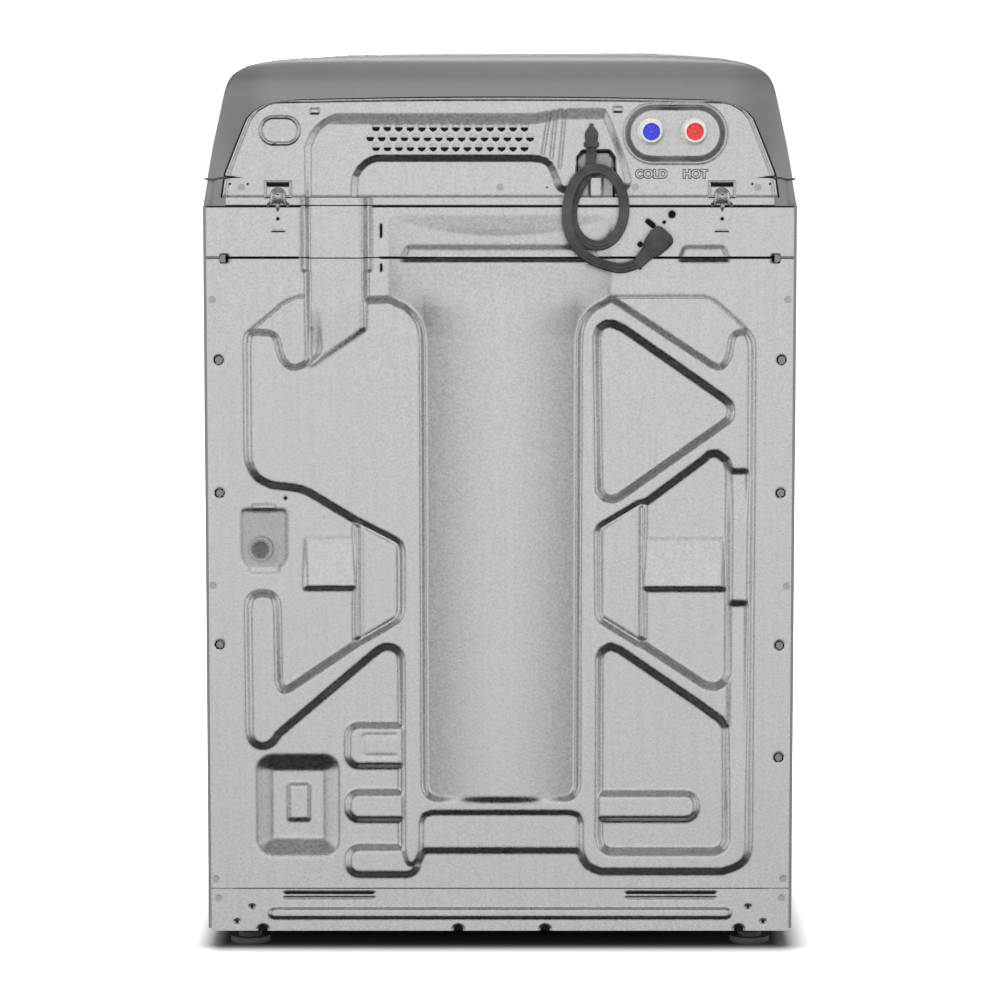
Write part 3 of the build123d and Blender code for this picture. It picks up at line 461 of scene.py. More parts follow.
def rounded(outline, cut):
    """The outline with each sharp corner turned into a short curve that starts cut away from it."""
    points = np.asarray(outline, float)
    result = []
    for before, corner, after in zip(np.roll(points, 1, axis=0), points, np.roll(points, -1, axis=0)):
        to_before, to_after = before - corner, after - corner
        long_a, long_b = np.hypot(*to_before), np.hypot(*to_after)
        if to_before @ to_after < -0.93 * long_a * long_b:
            result.append(tuple(corner))
            continue
        a = corner + to_before * min(cut / long_a, 0.45)
        b = corner + to_after * min(cut / long_b, 0.45)
        result += [tuple(a), tuple(0.25 * a + 0.5 * corner + 0.25 * b), tuple(b)]
    return result


def box_outline(u0, u1, z0, z1):
    """The four corners of an upright rectangle."""
    return [(u0, z0), (u1, z0), (u1, z1), (u0, z1)]


FRAME_LEVEL = 9.0
frame_outline = [
    (-298, 737), (-292, 742), (-264, 765), (-253, 775), (-236, 781), (-148, 779), (-125, 780), (240, 781),
    (251, 777),
    (287, 745), (297, 731), (297, 118), (289, 104), (266, 96), (120, 96), (104, 102), (95, 119), (95, 166),
    (-92, 166),
    (-92, 119), (-102, 101), (-113, 104), (-117, 122), (-117, 356), (-122, 364), (-132, 368), (-142, 366),
    (-264, 262),
    (-270, 252), (-280, 247), (-291, 249), (-298, 258), (-299, 420), (-294, 429), (-283, 432), (-270, 430),
    (-264, 421),
    (-263, 326), (-260, 317), (-255, 314), (-169, 372), (-122, 399), (-117, 408), (-117, 487), (-121, 493),
    (-170, 518),
    (-233, 556), (-269, 560), (-288, 568), (-298, 588),
]
triangle = [(114, 736), (117, 746), (124, 751), (133, 751), (146, 745), (265, 662), (271, 656), (273, 647),
            (271, 639),
            (265, 634), (141, 546), (133, 543), (124, 545), (117, 554)]
hexagon = [(247, 597), (256, 598), (267, 590), (271, 579), (271, 334), (267, 325), (256, 319), (244, 321),
           (170, 370),
           (164, 372), (121, 399), (117, 406), (116, 505), (119, 511), (164, 538), (173, 540), (241, 591)]
lower_pocket = [(121, 362), (131, 368), (143, 363), (233, 301), (262, 280), (269, 270), (270, 133),
                (265, 124), (256, 120),
                (130, 120), (121, 126), (118, 137), (118, 354)]
side_holes = [(-332, 708), (-332, 550), (-333, 369), (332, 708), (332, 550), (332, 368), (332, 233)]
small_holes = [(-254, 544, 2.2), (339, 86, 2.4), (165, 816, 1.6), (-340, 439, 1.6)]


frame_outline = rounded(frame_outline, 11.0)
channel_outline = rounded([(-84, 196), (-78, 190), (80, 190), (86, 196), (87, 728), (88, 742), (92, 756),
                           (100, 768),
                           (110, 777), (124, 782), (124, 900), (-124, 900), (-124, 782), (-110, 777),
                           (-99, 768),
                           (-90, 756), (-86, 742), (-85, 728)], 6.0)
corner_right = rounded([(126, 810), (310, 810), (310, 742), (280, 742), (272, 734), (271, 714), (262, 699),
                        (252, 701),
                        (134, 779), (127, 786)], 9.0)
corner_left = rounded([(-212, 810), (-310, 810), (-310, 741), (-271, 741), (-262, 735), (-260, 716),
                       (-252, 702),
                       (-240, 698), (-212, 714)], 9.0)


PORT_MIDDLE = (283.5, 483.0)
PORT_BORE = 10.0


def panel_height(u, z):
    """Height of the pressing above the flat border over both rear panels, and its painted shade: how dark to
    paint holes, slots, seams, the drain pocket and a line along the frame's edge.
    """
    h = np.zeros(u.shape)
    pit = np.zeros(u.shape)
    crown = 12.6 * np.clip(1 - (u / 131) ** 2, 0, 1) ** 0.8
    lip = 0.40 * np.clip((879 - z) / (5 + 20 * np.clip(1 - (u / 131) ** 2, 0, 1)), 0,
                         1) + 0.60 * ease((862 - z) / 90)
    h = h + crown * lip * ease((z - 740) / 60)
    h = press(h, edge_distance(u, z, frame_outline), FRAME_LEVEL, 7.5)
    channel = edge_distance(u, z, channel_outline) - 6
    bow = 12.6 - 12.0 * np.clip(np.abs(u - 1) / 90, 0, 1.02) ** 2
    bow = (bow + (crown - bow) * ease((z - 735) / 60)) * lip
    h = h + (bow - h) * ease(0.5 - channel / 6.0)
    for recess in (triangle, hexagon, lower_pocket):
        h = press(h, edge_distance(u, z, recess), 0.0, 7.5)
    # the frame's two upper corners stay shallow outside a slanting crease
    for corner in (corner_right, corner_left):
        h = h - np.maximum(h - 1.7, 0) * ease(0.5 - edge_distance(u, z, corner) / 5.5)
    # a thin painted shade line along the frame's outline, left out over the middle channel, below 728 mm and
    # from -230 to -124 mm
    rim = np.abs(edge_distance(u, z, frame_outline)) + 40 * (np.abs(u) < 124) + 40 * (z < 728)
    rim = rim + 40 * ((u > -230) & (u < -124))
    pit = np.maximum(pit, 0.55 * ease(1.5 - rim / 0.9))
    # half-height shelves between the middle columns and the slanting dividers
    for shelf in ([(118, 402), (166, 372), (166, 540), (118, 508)],
                  [(-119, 402), (-166, 374), (-166, 514), (-119, 490)]):
        h = np.maximum(h, press(np.zeros(u.shape), edge_distance(u, z, shelf), 4.6, 8.0))
    # dividers and raised pads
    for pad, level in ((box_outline(164, 171, 376, 536), 6.4), (box_outline(-172, -165, 376, 512), 6.4),
                       (box_outline(166, 266, 436, 497), 5.0), (box_outline(-231, -169, 437, 498), 5.0)):
        rising = 1.0 if level > 6 else 0.22 + 0.78 * np.clip((497 - z) / 58, 0, 1)
        h = np.maximum(h, press(np.zeros(u.shape), edge_distance(u, z, pad), level, 5.0) * rising)
    for left, right, middle, half, level in ((-168, -112, 248, 11, 6.5), (-168, -112, 175, 3, 6.5),
                                             (-168, -112, 108.5, 3, 6.5), (112, 221, 174.5, 2, 6.0)):
        finger = edge_distance(u, z, box_outline(left, right, middle - half, middle + half)) - 13.5
        h = np.maximum(h, press(np.zeros(u.shape), finger, level, 6.5))
    for crease in ([(-163, 237), (-163, 260)], [(-160, 236), (-124, 236)], [(-160, 261), (-124, 261)]):
        h = h - 0.9 * ease(1 - line_distance(u, z, crease) / 2.2)
    # the outer right strip drops twice and climbs back slowly
    strip = ease((u - 269) / 5) * ease((295 - u) / 5)
    for low, high in ((515, 576), (168, 419)):
        sag = (FRAME_LEVEL - 4.8) * ease((high + 4 - z) / 7) * np.clip((z - low) / (high - low), 0, 1)
        h = h - strip * sag
    # the step under the middle of the panel
    notch = edge_distance(u, z, box_outline(-93, 95, 121, 170))
    h = np.maximum(h, 4.8 * ease(0.5 - notch / 6.0))
    # the console's upright strip runs down into the frame and ends in a slanting crease
    upright = edge_distance(u, z, [(-222, 950), (-162, 950), (-162, 747), (-222, 706)])
    flank = np.where(z > 813, 9.0, 7.0)
    h = h + (np.maximum(h, 12.0) - h) * ease(1.0 - upright / flank) * (0.55 + 0.45 * ease((z - 720) / 50))
    h = h + 1.6 * ease(1 - np.abs(upright - 1.0) / 2.4) * (z > 745)
    h = h + 1.8 * ease(1 - np.abs(upright - 10.0) / 1.8) * (z > 813)
    # dished square around the belt hole, with a small plate in it
    square_floor = edge_distance(u, z, box_outline(-271, -211, 134, 216))
    h = h - 12.0 * ease(1.0 - square_floor / 21.0) * ease(1 - (np.abs(u + 242) - 46) / 6)
    h = h + 2.5 * ease(0.5 - edge_distance(u, z, box_outline(-253, -228, 156, 199)) / 2.5)
    # drain pocket with its tab; the pocket's floor and the port's bore are painted dark as shade
    pocket = edge_distance(u, z, rounded([(-306, 472), (-297, 461), (-262, 461), (-253, 472), (-253, 530),
                                          (-306, 530)], 4))
    h = h - (h + 1.6) * ease(0.5 - pocket / 2.5)
    pit = np.maximum(pit, 0.38 * ease(0.5 - pocket / 1.5))
    pit = np.maximum(pit, 0.54 * ease((PORT_BORE + 1.0 - np.hypot(u + PORT_MIDDLE[0],
                                                                  z - PORT_MIDDLE[1])) / 1.5))
    h = h - 1.2 * ease(0.5 - edge_distance(u, z, box_outline(-297, -262, 455, 461)) / 2.0)
    h = h + 1.6 * ease(0.5 - edge_distance(u, z, box_outline(-293, -266, 530, 537)) / 2.0)
    # ribs along the upper panel's lower edge
    for rib in ([(-116, 824), (-108, 841), (107, 841), (115, 824)],
                [(210, 824), (217, 841), (262, 841), (270, 824)]):
        h = h + 3.0 * ease(0.5 - edge_distance(u, z, rib) / 5.0) * ease((z - 824) / 3)
    # holes: shallow dimples with painted shade inside; the side holes get a painted shade ring and a shaded
    # half
    for hu, hz in side_holes:
        away = np.hypot(u - hu, z - hz)
        h = h - 1.5 * ease((5.8 - away) / 1.6)
        shade = np.maximum(ease(1.5 - np.abs(away - 5.2) / 0.8),
                           ease((hu - 1.2 - u) / 1.0) * ease((5.4 - away) / 0.8))
        pit = np.maximum(pit, shade)
    for hu, hz, radius in small_holes + [(202, 879, 4.6), (193, 870, 2.2), (165, 844, 3.4)]:
        away = np.hypot(u - hu, z - hz)
        h = h - 0.8 * ease((radius + 0.6 - away) / 1.3)
        pit = np.maximum(pit, ease((radius + 0.7 - away) / 1.4))
    # slots, square holes and small holes: dimpled, with painted shade inside them
    for slot_line, radius in (([(-140, 853), (-140, 867)], 1.5), ([(174, 871), (180, 866)], 3.2),
                              ([(-268, 859), (-253, 859)], 0.8), ([(268, 859), (253, 859)], 0.8),
                              ([(-140, 813), (-140, 820)], 1.5)):
        away = line_distance(u, z, slot_line)
        h = h - 0.8 * ease((radius + 0.6 - away) / 1.2)
        pit = np.maximum(pit, ease((radius + 0.7 - away) / 1.2))
    for side in (-1, 1):
        pit = np.maximum(pit, ease(0.8 - edge_distance(u, z, box_outline(side * 325 - 4, side * 325 + 4, 822,
                                                                         831)) / 1.0))
    for hu in (-261, 261):
        away = np.hypot(u - hu, z - 874)
        pit = np.maximum(pit, ease((2.7 - away) / 1.0))
    # painted shade lines along the seam between the two panels and along the upper panel's top edge, and
    # painted shade in two square slots on the seam
    seam = ease(1.6 - np.abs(z - 828.5) / 1.0) * ((u < -236) | (u > -142))
    seam = np.maximum(seam, ease((z - 887.2) / 0.8) * ((u < -234) | (u > -150)))
    pit = np.maximum(pit, seam)
    for hu in (-324, 324):
        away = edge_distance(u, z, box_outline(hu - 4.5, hu + 4.5, 823.5, 831))
        pit = np.maximum(pit, ease(0.5 - away))
        h = h - 3.0 * ease(0.5 - away)
    return h, pit


def pressed_tile(name, u_line, z_line, shape, thick, body, finish, node):
    """A closed thin sheet on the rear plane over u_line x z_line, mm. Its rear side stands at shape's height,
    blurred once with weights 1 2 1 so that every bend is round; its inner side is the lowest height near
    each fourth point, set back by thick."""
    rim = 8
    u_step, z_step = u_line[1] - u_line[0], z_line[1] - z_line[0]
    u, z = np.meshgrid(np.linspace(u_line[0] - rim * u_step, u_line[-1] + rim * u_step,
                                   len(u_line) + 2 * rim),
                       np.linspace(z_line[0] - rim * z_step, z_line[-1] + rim * z_step,
                                   len(z_line) + 2 * rim),
                       indexing="ij")
    h, pit = shape(u, z)
    h[1:-1] = 0.25 * h[:-2] + 0.5 * h[1:-1] + 0.25 * h[2:]
    h[:, 1:-1] = 0.25 * h[:, :-2] + 0.5 * h[:, 1:-1] + 0.25 * h[:, 2:]
    u, z, h, pit = (grid[rim:-rim, rim:-rim] for grid in (u, z, h, pit))
    back = h[::4, ::4].copy()
    for du in range(-2, 3):
        for dz in range(-2, 3):
            rows = np.clip(np.arange(0, h.shape[0], 4) + du, 0, h.shape[0] - 1)
            cols = np.clip(np.arange(0, h.shape[1], 4) + dz, 0, h.shape[1] - 1)
            back = np.minimum(back, h[np.ix_(rows, cols)])
    return sheet_mesh(name, u, z, h, pit, back, thick, body, finish, node)


def sheet_mesh(name, u, z, h, pit, back, thick, body, finish, node):
    """Joins a fine outer grid and a coarse inner grid with a strip of faces round the rim."""
    n, m = u.shape
    front = np.stack([-u / 1000, BACK + 0.001 + h / 1000, z / 1000], -1)
    inner = np.stack([-u[::4, ::4] / 1000, BACK + 0.001 + (back - thick) / 1000, z[::4, ::4] / 1000], -1)
    a, b = inner.shape[:2]
    i, j = np.meshgrid(np.arange(n - 1), np.arange(m - 1), indexing="ij")
    quads = np.stack([i * m + j, i * m + j + 1, (i + 1) * m + j + 1, (i + 1) * m + j], -1).reshape(-1, 4)
    base = n * m
    i, j = np.meshgrid(np.arange(a - 1), np.arange(b - 1), indexing="ij")
    under = base + np.stack([i * b + j, (i + 1) * b + j, (i + 1) * b + j + 1, i * b + j + 1], -1).reshape(-1,
                                                                                                          4)
    faces = quads.tolist() + under.tolist()
    for k in range(a - 1):
        for column, inside, turn in ((0, 0, 1), (m - 1, b - 1, -1)):
            run = [(4 * k + s) * m + column for s in range(5)]
            faces.append((run + [base + (k + 1) * b + inside, base + k * b + inside])[::turn])
    for k in range(b - 1):
        for row, inside, turn in ((0, 0, -1), (n - 1, a - 1, 1)):
            run = [row * m + 4 * k + s for s in range(5)]
            faces.append((run + [base + inside * b + k + 1, base + inside * b + k])[::turn])
    mesh = bpy.data.meshes.new(name)
    mesh.from_pydata(np.concatenate([front.reshape(-1, 3), inner.reshape(-1, 3)]).tolist(), [], faces)
    smooth = np.ones(len(faces), bool)
    smooth[len(quads):] = False
    mesh.polygons.foreach_set("use_smooth", smooth)
    # the painted shade mask goes on the outer grid as a point attribute; the inner grid gets none
    dark = mesh.attributes.new("pit", "FLOAT", "POINT")
    dark.data.foreach_set("value", np.concatenate([pit.ravel(), np.zeros(a * b)]).astype(np.float32))
    mesh.set_sharp_from_angle(angle=math.radians(70))
    obj = bpy.data.objects.new(name, mesh)
    scene.collection.objects.link(obj)
    mesh.materials.append(finish)
    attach(obj, body)
    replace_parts(obj, node)
    return obj


PANEL_HALF = 345.5
tile_edges = [-PANEL_HALF, -118.0, 108.0, PANEL_HALF]
for number, (left, right) in enumerate(zip(tile_edges, tile_edges[1:])):
    columns = 4 * round((right - left) / 1.7 / 4) + 1
    pressed_tile(f"rear_panel_sheet_{number + 1}", np.linspace(left, right, columns),
                 np.linspace(75.2, 827.8, 4 * 108 + 1),
                 panel_height, 0.9, "cabinet", galvanised, "rear_panel")
pressed_tile("rear_upper_sheet", np.linspace(-PANEL_HALF, PANEL_HALF, 4 * 112 + 1),
             np.linspace(829.2, 889.2, 4 * 10 + 1),
             panel_height, 0.9, "cabinet", galvanised, "rear_upper_panel")


# ---- Rear base rail ----
# A galvanised channel along the foot of the rear with two pairs of cooling slots, one long stiffening rib and
# four half-round notches in its lower edge. It is screwed to the wrap's flanges at both ends.


def rail_height(u, z):
    """Height of the base rail's pressing and its painted shade: how dark to paint its slots, notches and holes.
    """
    h = 2.6 * ease(0.5 - (line_distance(u, z, [(-270, 44.6), (270, 44.6)]) - 5.6) / 3.0)
    pit = np.zeros(u.shape)
    # slots, notches and holes: dimpled, with painted shade inside them
    for side in (-1, 1):
        for level in (68.8, 63.0):
            away = line_distance(u, z, [(side * 152, level), (side * 257, level)])
            h = h - 1.5 * ease((1.9 - away) / 1.2)
            pit = np.maximum(pit, (1.0 if level > 66 else 0.46) * ease((1.7 - away) / 0.8))
    for hu, hz, radius in ((-284, 24, 6), (-50, 24, 6), (54, 24, 6), (286, 24, 6), (-297, 52, 2.4),
                           (297, 52, 2.4),
                           (-315, 34, 2.4), (315, 34, 2.4)):
        away = np.hypot(u - hu, z - hz)
        h = h - 3.0 * ease((radius + 0.6 - away) / 1.4)
        pit = np.maximum(pit, ease((radius + 0.2 - away) / 1.2))
    return h, pit


pressed_tile("base_rail_sheet", np.linspace(-PANEL_HALF, PANEL_HALF, 4 * 120 + 1),
             np.linspace(23.0, 74.0, 4 * 12 + 1),
             rail_height, 0.9, "cabinet", galvanised, "base_rear_rail")


# ---- Console rear panel ----
# The same galvanised sheet, cut to the console's outline and screwed over its open rear. It carries a raised
# strip with three rows of louvres, an oval dish for the two water inlets and the pocket for the lead.
strip_outline = [(-225, 880), (-225, 958), (-219, 974), (-206, 988), (-184, 996), (48, 996), (60, 999),
                 (72, 1002.5),
                 (116, 1002.5), (122, 999), (131, 977), (144, 942), (150, 921), (150, 914), (143, 908),
                 (135, 909),
                 (128, 898), (86, 898), (81, 909), (75, 908), (69, 911), (66, 921), (59, 939), (47, 945),
                 (-145, 945),
                 (-157, 941), (-171, 925), (-171, 880)]
strip_outline = rounded(strip_outline, 12.0)
knock_out = [(-265, 977.5), (-251, 977.5)]
louvre_rows = ((979.0, -145.0, 14), (967.3, -151.7, 15), (955.8, -145.0, 14))


def console_height(u, z):
    """Height of the console panel's pressing and its painted shade: how dark to paint its louvre openings,
    holes, cord pocket and lower corners.
    """
    pit = np.zeros(u.shape)
    h = press(np.zeros(u.shape), edge_distance(u, z, strip_outline), 6.0, 8.0)
    painted_end_band = 998 + 6 * ease((u - 40) / 30)
    h = np.where(u < 124, np.minimum(h, 6.0 * ease((painted_end_band - z) / 14)), h)
    for crease in ([(58, 999), (50, 950)], [(66, 1001), (60, 945)], [(76, 1001), (70, 935)]):
        h = h - 1.1 * ease(1 - line_distance(u, z, crease) / 3.0)
    # louvres: a black half-moon of painted shade in each opening, under a small hood
    for level, start, count in louvre_rows:
        for k in range(count):
            du, dz = u - (start + 13.35 * k), z - level
            slit = 1 - (du / 4.9) ** 2 - ((dz - 1.9) / 4.9) ** 2
            pit = np.maximum(pit, ease(slit * 6) * ease((2.2 - dz) / 0.5))
            h = h + 0.5 * ease(slit * 3) * ease((dz - 1.6) / 0.6)
    # oval dish for the inlets
    dish = line_distance(u, z, [(180, 974), (231, 974)]) - 30.0
    h = np.where(u > 140, h - (h + 8.0) * ease(0.5 - dish / 5.5), h)
    h = h + 0.9 * ease(1 - np.abs(dish - 4.0) / 3.0) * (u > 140)
    # oblong knock-out
    away = np.abs(line_distance(u, z, knock_out) - 15.5)
    h = h + 1.6 * ease(1 - away / 2.2)
    # cord pocket: an arched doorway set back behind the strip, with a flat bar down its middle; its outline and
    # floor are painted dark as shade, the bar less so
    arch = edge_distance(u, z, [(91, 890), (134, 890), (134, 945), (128, 953), (97, 953), (91, 945)])
    floor_level = 0.6 + 5.9 * ease((z - 923) / 3)
    h = h - (h + floor_level) * ease(0.5 - arch / 3.0)
    pit = np.maximum(pit, ease(1.4 - np.abs(arch) / 1.3) + 0.42 * ease(0.5 - arch / 3.0))
    bar = edge_distance(u, z, box_outline(105, 120, 890, 928))
    h = h + 4.0 * ease(0.5 - bar / 2.0)
    pit = pit * (1 - 0.75 * ease(0.5 - bar / 2.0))
    # small holes and a wedge at each lower corner, painted dark as shade
    for hu, hz, radius in ((55, 911, 1.6), (-296, 915, 1.8), (-317, 915, 1.8), (317, 915, 1.8),
                           (296, 915, 1.8)):
        away = np.hypot(u - hu, z - hz)
        pit = np.maximum(pit, ease((radius + 0.2 - away) / 1.0))
    for side in (-1, 1):
        wedge = edge_distance(u, z, [(side * 300, 922.5), (side * 326, 920.5), (side * 326, 925.5)])
        pit = np.maximum(pit, 0.9 * ease(0.5 - wedge / 1.2))
    for hu, hz in ((-217, 1000), (138, 1002)):
        h = h + 1.6 * ease(0.5 - edge_distance(u, z, box_outline(hu - 5, hu + 5, hz - 3, hz + 3)) / 2.0)
    h = h + 1.8 * ease((901.5 - z) / 2.5)
    return h, pit


rows = 1 - (1 - np.linspace(0, 1, 4 * 26 + 1)) ** 1.35
level_known = [0.0, 0.24, 0.42, 0.55, 0.70, 0.80, 0.88, 0.94, 0.975, 1.0]
width_known = [328, 324, 316, 310, 303, 298, 290, 278, 262, 238]
across = np.linspace(-1, 1, 4 * 134 + 1)
a_grid, s_grid = np.meshgrid(across, rows, indexing="ij")
console_u = a_grid * np.interp(s_grid, level_known, width_known)
console_z = 899.2 + s_grid * (114.3 + 3.5 * (1 - a_grid ** 2))
console_h, console_painted_shade = console_height(console_u, console_z)
# painted shade: a dark line round the panel's sides and top, where it meets the housing
border = np.maximum(ease((np.abs(a_grid) - 0.9915) / 0.003), ease((s_grid - 0.984) / 0.006) * (s_grid > 0.5))
console_painted_shade = np.maximum(console_painted_shade, border)
bead = np.maximum(ease(1 - np.abs(np.abs(a_grid) - 0.981) / 0.006),
                  ease(1 - np.abs(s_grid - 0.968) / 0.010) * (s_grid > 0.5))
console_h = console_h + 0.9 * bead
inner_h = np.minimum(console_h[::4, ::4], 0.0) - 0.4
sheet_mesh("console_rear_sheet", console_u, console_z, console_h, console_painted_shade, inner_h, 0.8, "cabinet",
           galvanised,
           "console_rear_panel")


def console_foot(u, z):
    """Flat strip with the upright strip running through it."""
    return panel_height(u, z)[0] * (u < -140), 0.0 * u


pressed_tile("console_panel_foot", np.linspace(-322, 322, 4 * 110 + 1), np.linspace(890.6, 899.0, 4 * 2 + 1),
             console_foot, 0.9, "cabinet", galvanised, "console_rear_panel")


# ---- Console housing ----
# One piece of slate-grey painted sheet, 1.5 mm thick, drawn to a long arch with swept-down ends. It is open
# below, where it sits on the top deck, open at the rear for its cover, and has a window for the fascia.


def painted_finish(name, base, dark, metal=0.35, rough=0.34):
    """Slate metallic enamel: fine flakes, slight orange peel, a little dust and rubbed shine, and a painted
    shade band across each end of the console.
    """
    skin = Finish(name, Coat_Roughness=0.12, Coat_IOR=1.5)
    flake = skin.at.node("TexVoronoi", {"feature": "F1"}, {"Vector": skin.at, "Scale": 2600.0}, 1)
    spark = flake.node("SeparateColor", {}, {0: flake})
    peel = skin.at.noise(320.0, 2.0)
    dust = skin.at.noise(5.0, 5.0)
    at_x, _, at_z = skin.at.split()
    # painted shade: a band 0.27 to 0.34 m out from the middle, above 0.925 m, is darkened where the console's
    # ends curve away
    painted_end_band = at_x.size().step(0.270, 0.300) - at_x.size().step(0.312, 0.336)
    shade = 0.45 * painted_end_band * at_z.step(0.925, 0.96)
    skin.set(Base_Color=(0.5 + 0.4 * (spark - 0.5) + 0.5 * (dust - 0.5) - shade).step(0.1, 0.9).mix(dark,
                                                                                                    base),
             Metallic=metal + 0.12 * spark,
             Roughness=rough + 0.14 * dust,
             Coat_Weight=0.2 - 0.12 * dust.step(0.4, 0.7))
    return skin.bump(0.7 * peel + 0.3 * spark, 0.1, 0.0003).material


def shell_piece(name, outer, inner, keep, finish, body, wrap=(False, False), smooth=35.0):
    """Two matching grids of points, the outside and the inside of a skin. keep says which cells of the grid
    are there; every free edge of the kept cells is closed with a face from outside to inside."""
    rows, columns = outer.shape[:2]
    r, c = np.nonzero(keep)
    r2, c2 = (r + 1) % rows, (c + 1) % columns
    quads = np.stack([r * columns + c, r * columns + c2, r2 * columns + c2, r2 * columns + c], -1)
    total = rows * columns
    starts, stops = quads.ravel(), np.roll(quads, -1, axis=1).ravel()
    free = ~np.isin(starts * total + stops, stops * total + starts)
    rim = np.stack([stops[free], starts[free], starts[free] + total, stops[free] + total], -1)
    faces = np.concatenate([quads, quads[:, ::-1] + total, rim])
    used = np.unique(faces)
    place = np.zeros(2 * total, int)
    place[used] = np.arange(len(used))
    points = np.concatenate([outer.reshape(-1, 3), inner.reshape(-1, 3)])[used]
    return mesh_piece(name, points, place[faces].tolist(), finish, body, smooth)


def along_line(points, step, soften):
    """Points every step along an open run of straight lines, its corners rounded by soften averagings."""
    points = np.asarray(points, float)
    length = np.concatenate([[0], np.cumsum(np.linalg.norm(np.diff(points, axis=0), axis=1))])
    t = np.linspace(0, length[-1], max(2, round(length[-1] / step)) + 1)
    run = np.stack([np.interp(t, length, points[:, k]) for k in (0, 1)], -1)
    for _ in range(soften):
        run[1:-1] = 0.25 * run[:-2] + 0.5 * run[1:-1] + 0.25 * run[2:]
    return run


slate = painted_finish("slate_paint", (0.27, 0.272, 0.275), (0.17, 0.172, 0.175))
console_side = [(160, 921), (166, 945), (240, 1058), (252, 1068), (265, 1070), (300, 1070), (322, 1060),
                (334, 1040),
                (338, 1018), (338, 921)]
console_half = [(0, 1067), (90, 1066.5), (171, 1065), (260, 1059), (291, 1054), (306, 1049), (315, 1042),
                (321, 1030),
                (329, 993), (337, 957), (343, 923)]
side_run = along_line(console_side, 3.0, 6)
half_run = along_line(console_half, 3.0, 6)
end_run = np.concatenate([half_run[::-1] * (-1, 1), half_run[1:]])


def arch(side, end, shrink):
    """The console's skin: each column has the side outline, held down to the end outline's height there. The
    lower of the two heights is taken softly, minus k ln(exp(-a/k) + exp(-b/k)) with k = 3 mm."""
    x = end[:, 0] * (343 - shrink) / 343
    top = end[:, 1] - shrink + 5.0 * np.clip((end[:, 1] - 1048) / 18, 0, 1)
    middle = np.array([250.0, 921.0])
    y, z = (side - middle).T * np.array([[(90 - shrink) / 90], [(146 - shrink) / 146]]) + middle[:, None]
    height = np.maximum(-3.0 * np.logaddexp(-z[:, None] / 3.0, -top[None, :] / 3.0), 921.2)
    return np.stack([np.broadcast_to(x[None, :], height.shape), np.broadcast_to(y[:, None], height.shape),
                     height], -1) / 1000


arch_out = arch(side_run, end_run, 0.0)
arch_in = arch(side_run, end_run, 1.5)
middle_point = (arch_out[:-1, :-1] + arch_out[1:, 1:]) / 2 * 1000
on_slope = (middle_point[..., 1] > 172) & (middle_point[..., 1] < 231) & (np.abs(middle_point[..., 0]) < 274)
cover_gap = edge_distance(middle_point[..., 0], middle_point[..., 2],
                          [(-314, 905), (-312, 927), (-300, 962), (-288, 988), (-270, 1001), (-243, 1004),
                           (0, 1006),
                           (243, 1004), (270, 1001), (288, 988), (300, 962), (312, 927), (314, 905)])
rear_gap = (middle_point[..., 1] > 336) & (cover_gap < 0)
console_housing = shell_piece("console_housing_shell", arch_out, arch_in, ~(on_slope | rear_gap), slate,
                              "cabinet",
                              smooth=50.0)
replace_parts(console_housing, "console_housing")


# ---- Console gaskets ----
# A short bead of black foam rubber fills the gap between each end of the console and the deck below it.
gasket_rubber = vinyl_finish()
for side, label in ((-1, "left"), (1, "right")):
    along = np.linspace(0, 1, 60)
    bead_line = np.stack([-side * (0.3200 + 0.0262 * along), np.full(60, BACK + 0.0004),
                          0.9216 + 0.0007 * np.sin(7.0 * along) - 0.0012 * along], -1)
    bead_round = np.linspace(0, 2 * np.pi, 16, endpoint=False)
    bead_section = 0.0011 * np.stack([np.cos(bead_round), np.sin(bead_round)], -1)
    bead_size = 1 + 0.9 * np.exp(-((along - 0.12) / 0.07) ** 2)
    grid_piece(f"console_gasket_{label}", swept(bead_line, bead_section, (0, 0, 1), bead_size), gasket_rubber,
               "cabinet",
               (False, True), (True, True), 60)


# ---- Hold-down clips ----
# Two zinc-plated steel clips hook the console to the deck's rear edge. Each has a plate with a slot, a domed
# tongue with a rivet, and a pin that drops into the upper panel between two black spring legs.
clip_steel = galvanised_finish("clip_steel", 0.6)


def clip_height(u, z):
    """The clip's plate with its raised border, slot and rivet, and painted shade in the slot."""
    h = 2.2 + 0.9 * ease(1 - np.abs(edge_distance(u, z, box_outline(-15.5, 15.5, -9.5, 10.0)) + 1.0) / 1.8)
    slit = edge_distance(u, z, box_outline(-13, 13, 3.4, 7.4))
    pit = ease(0.5 - slit)
    return h - 1.6 * pit, pit


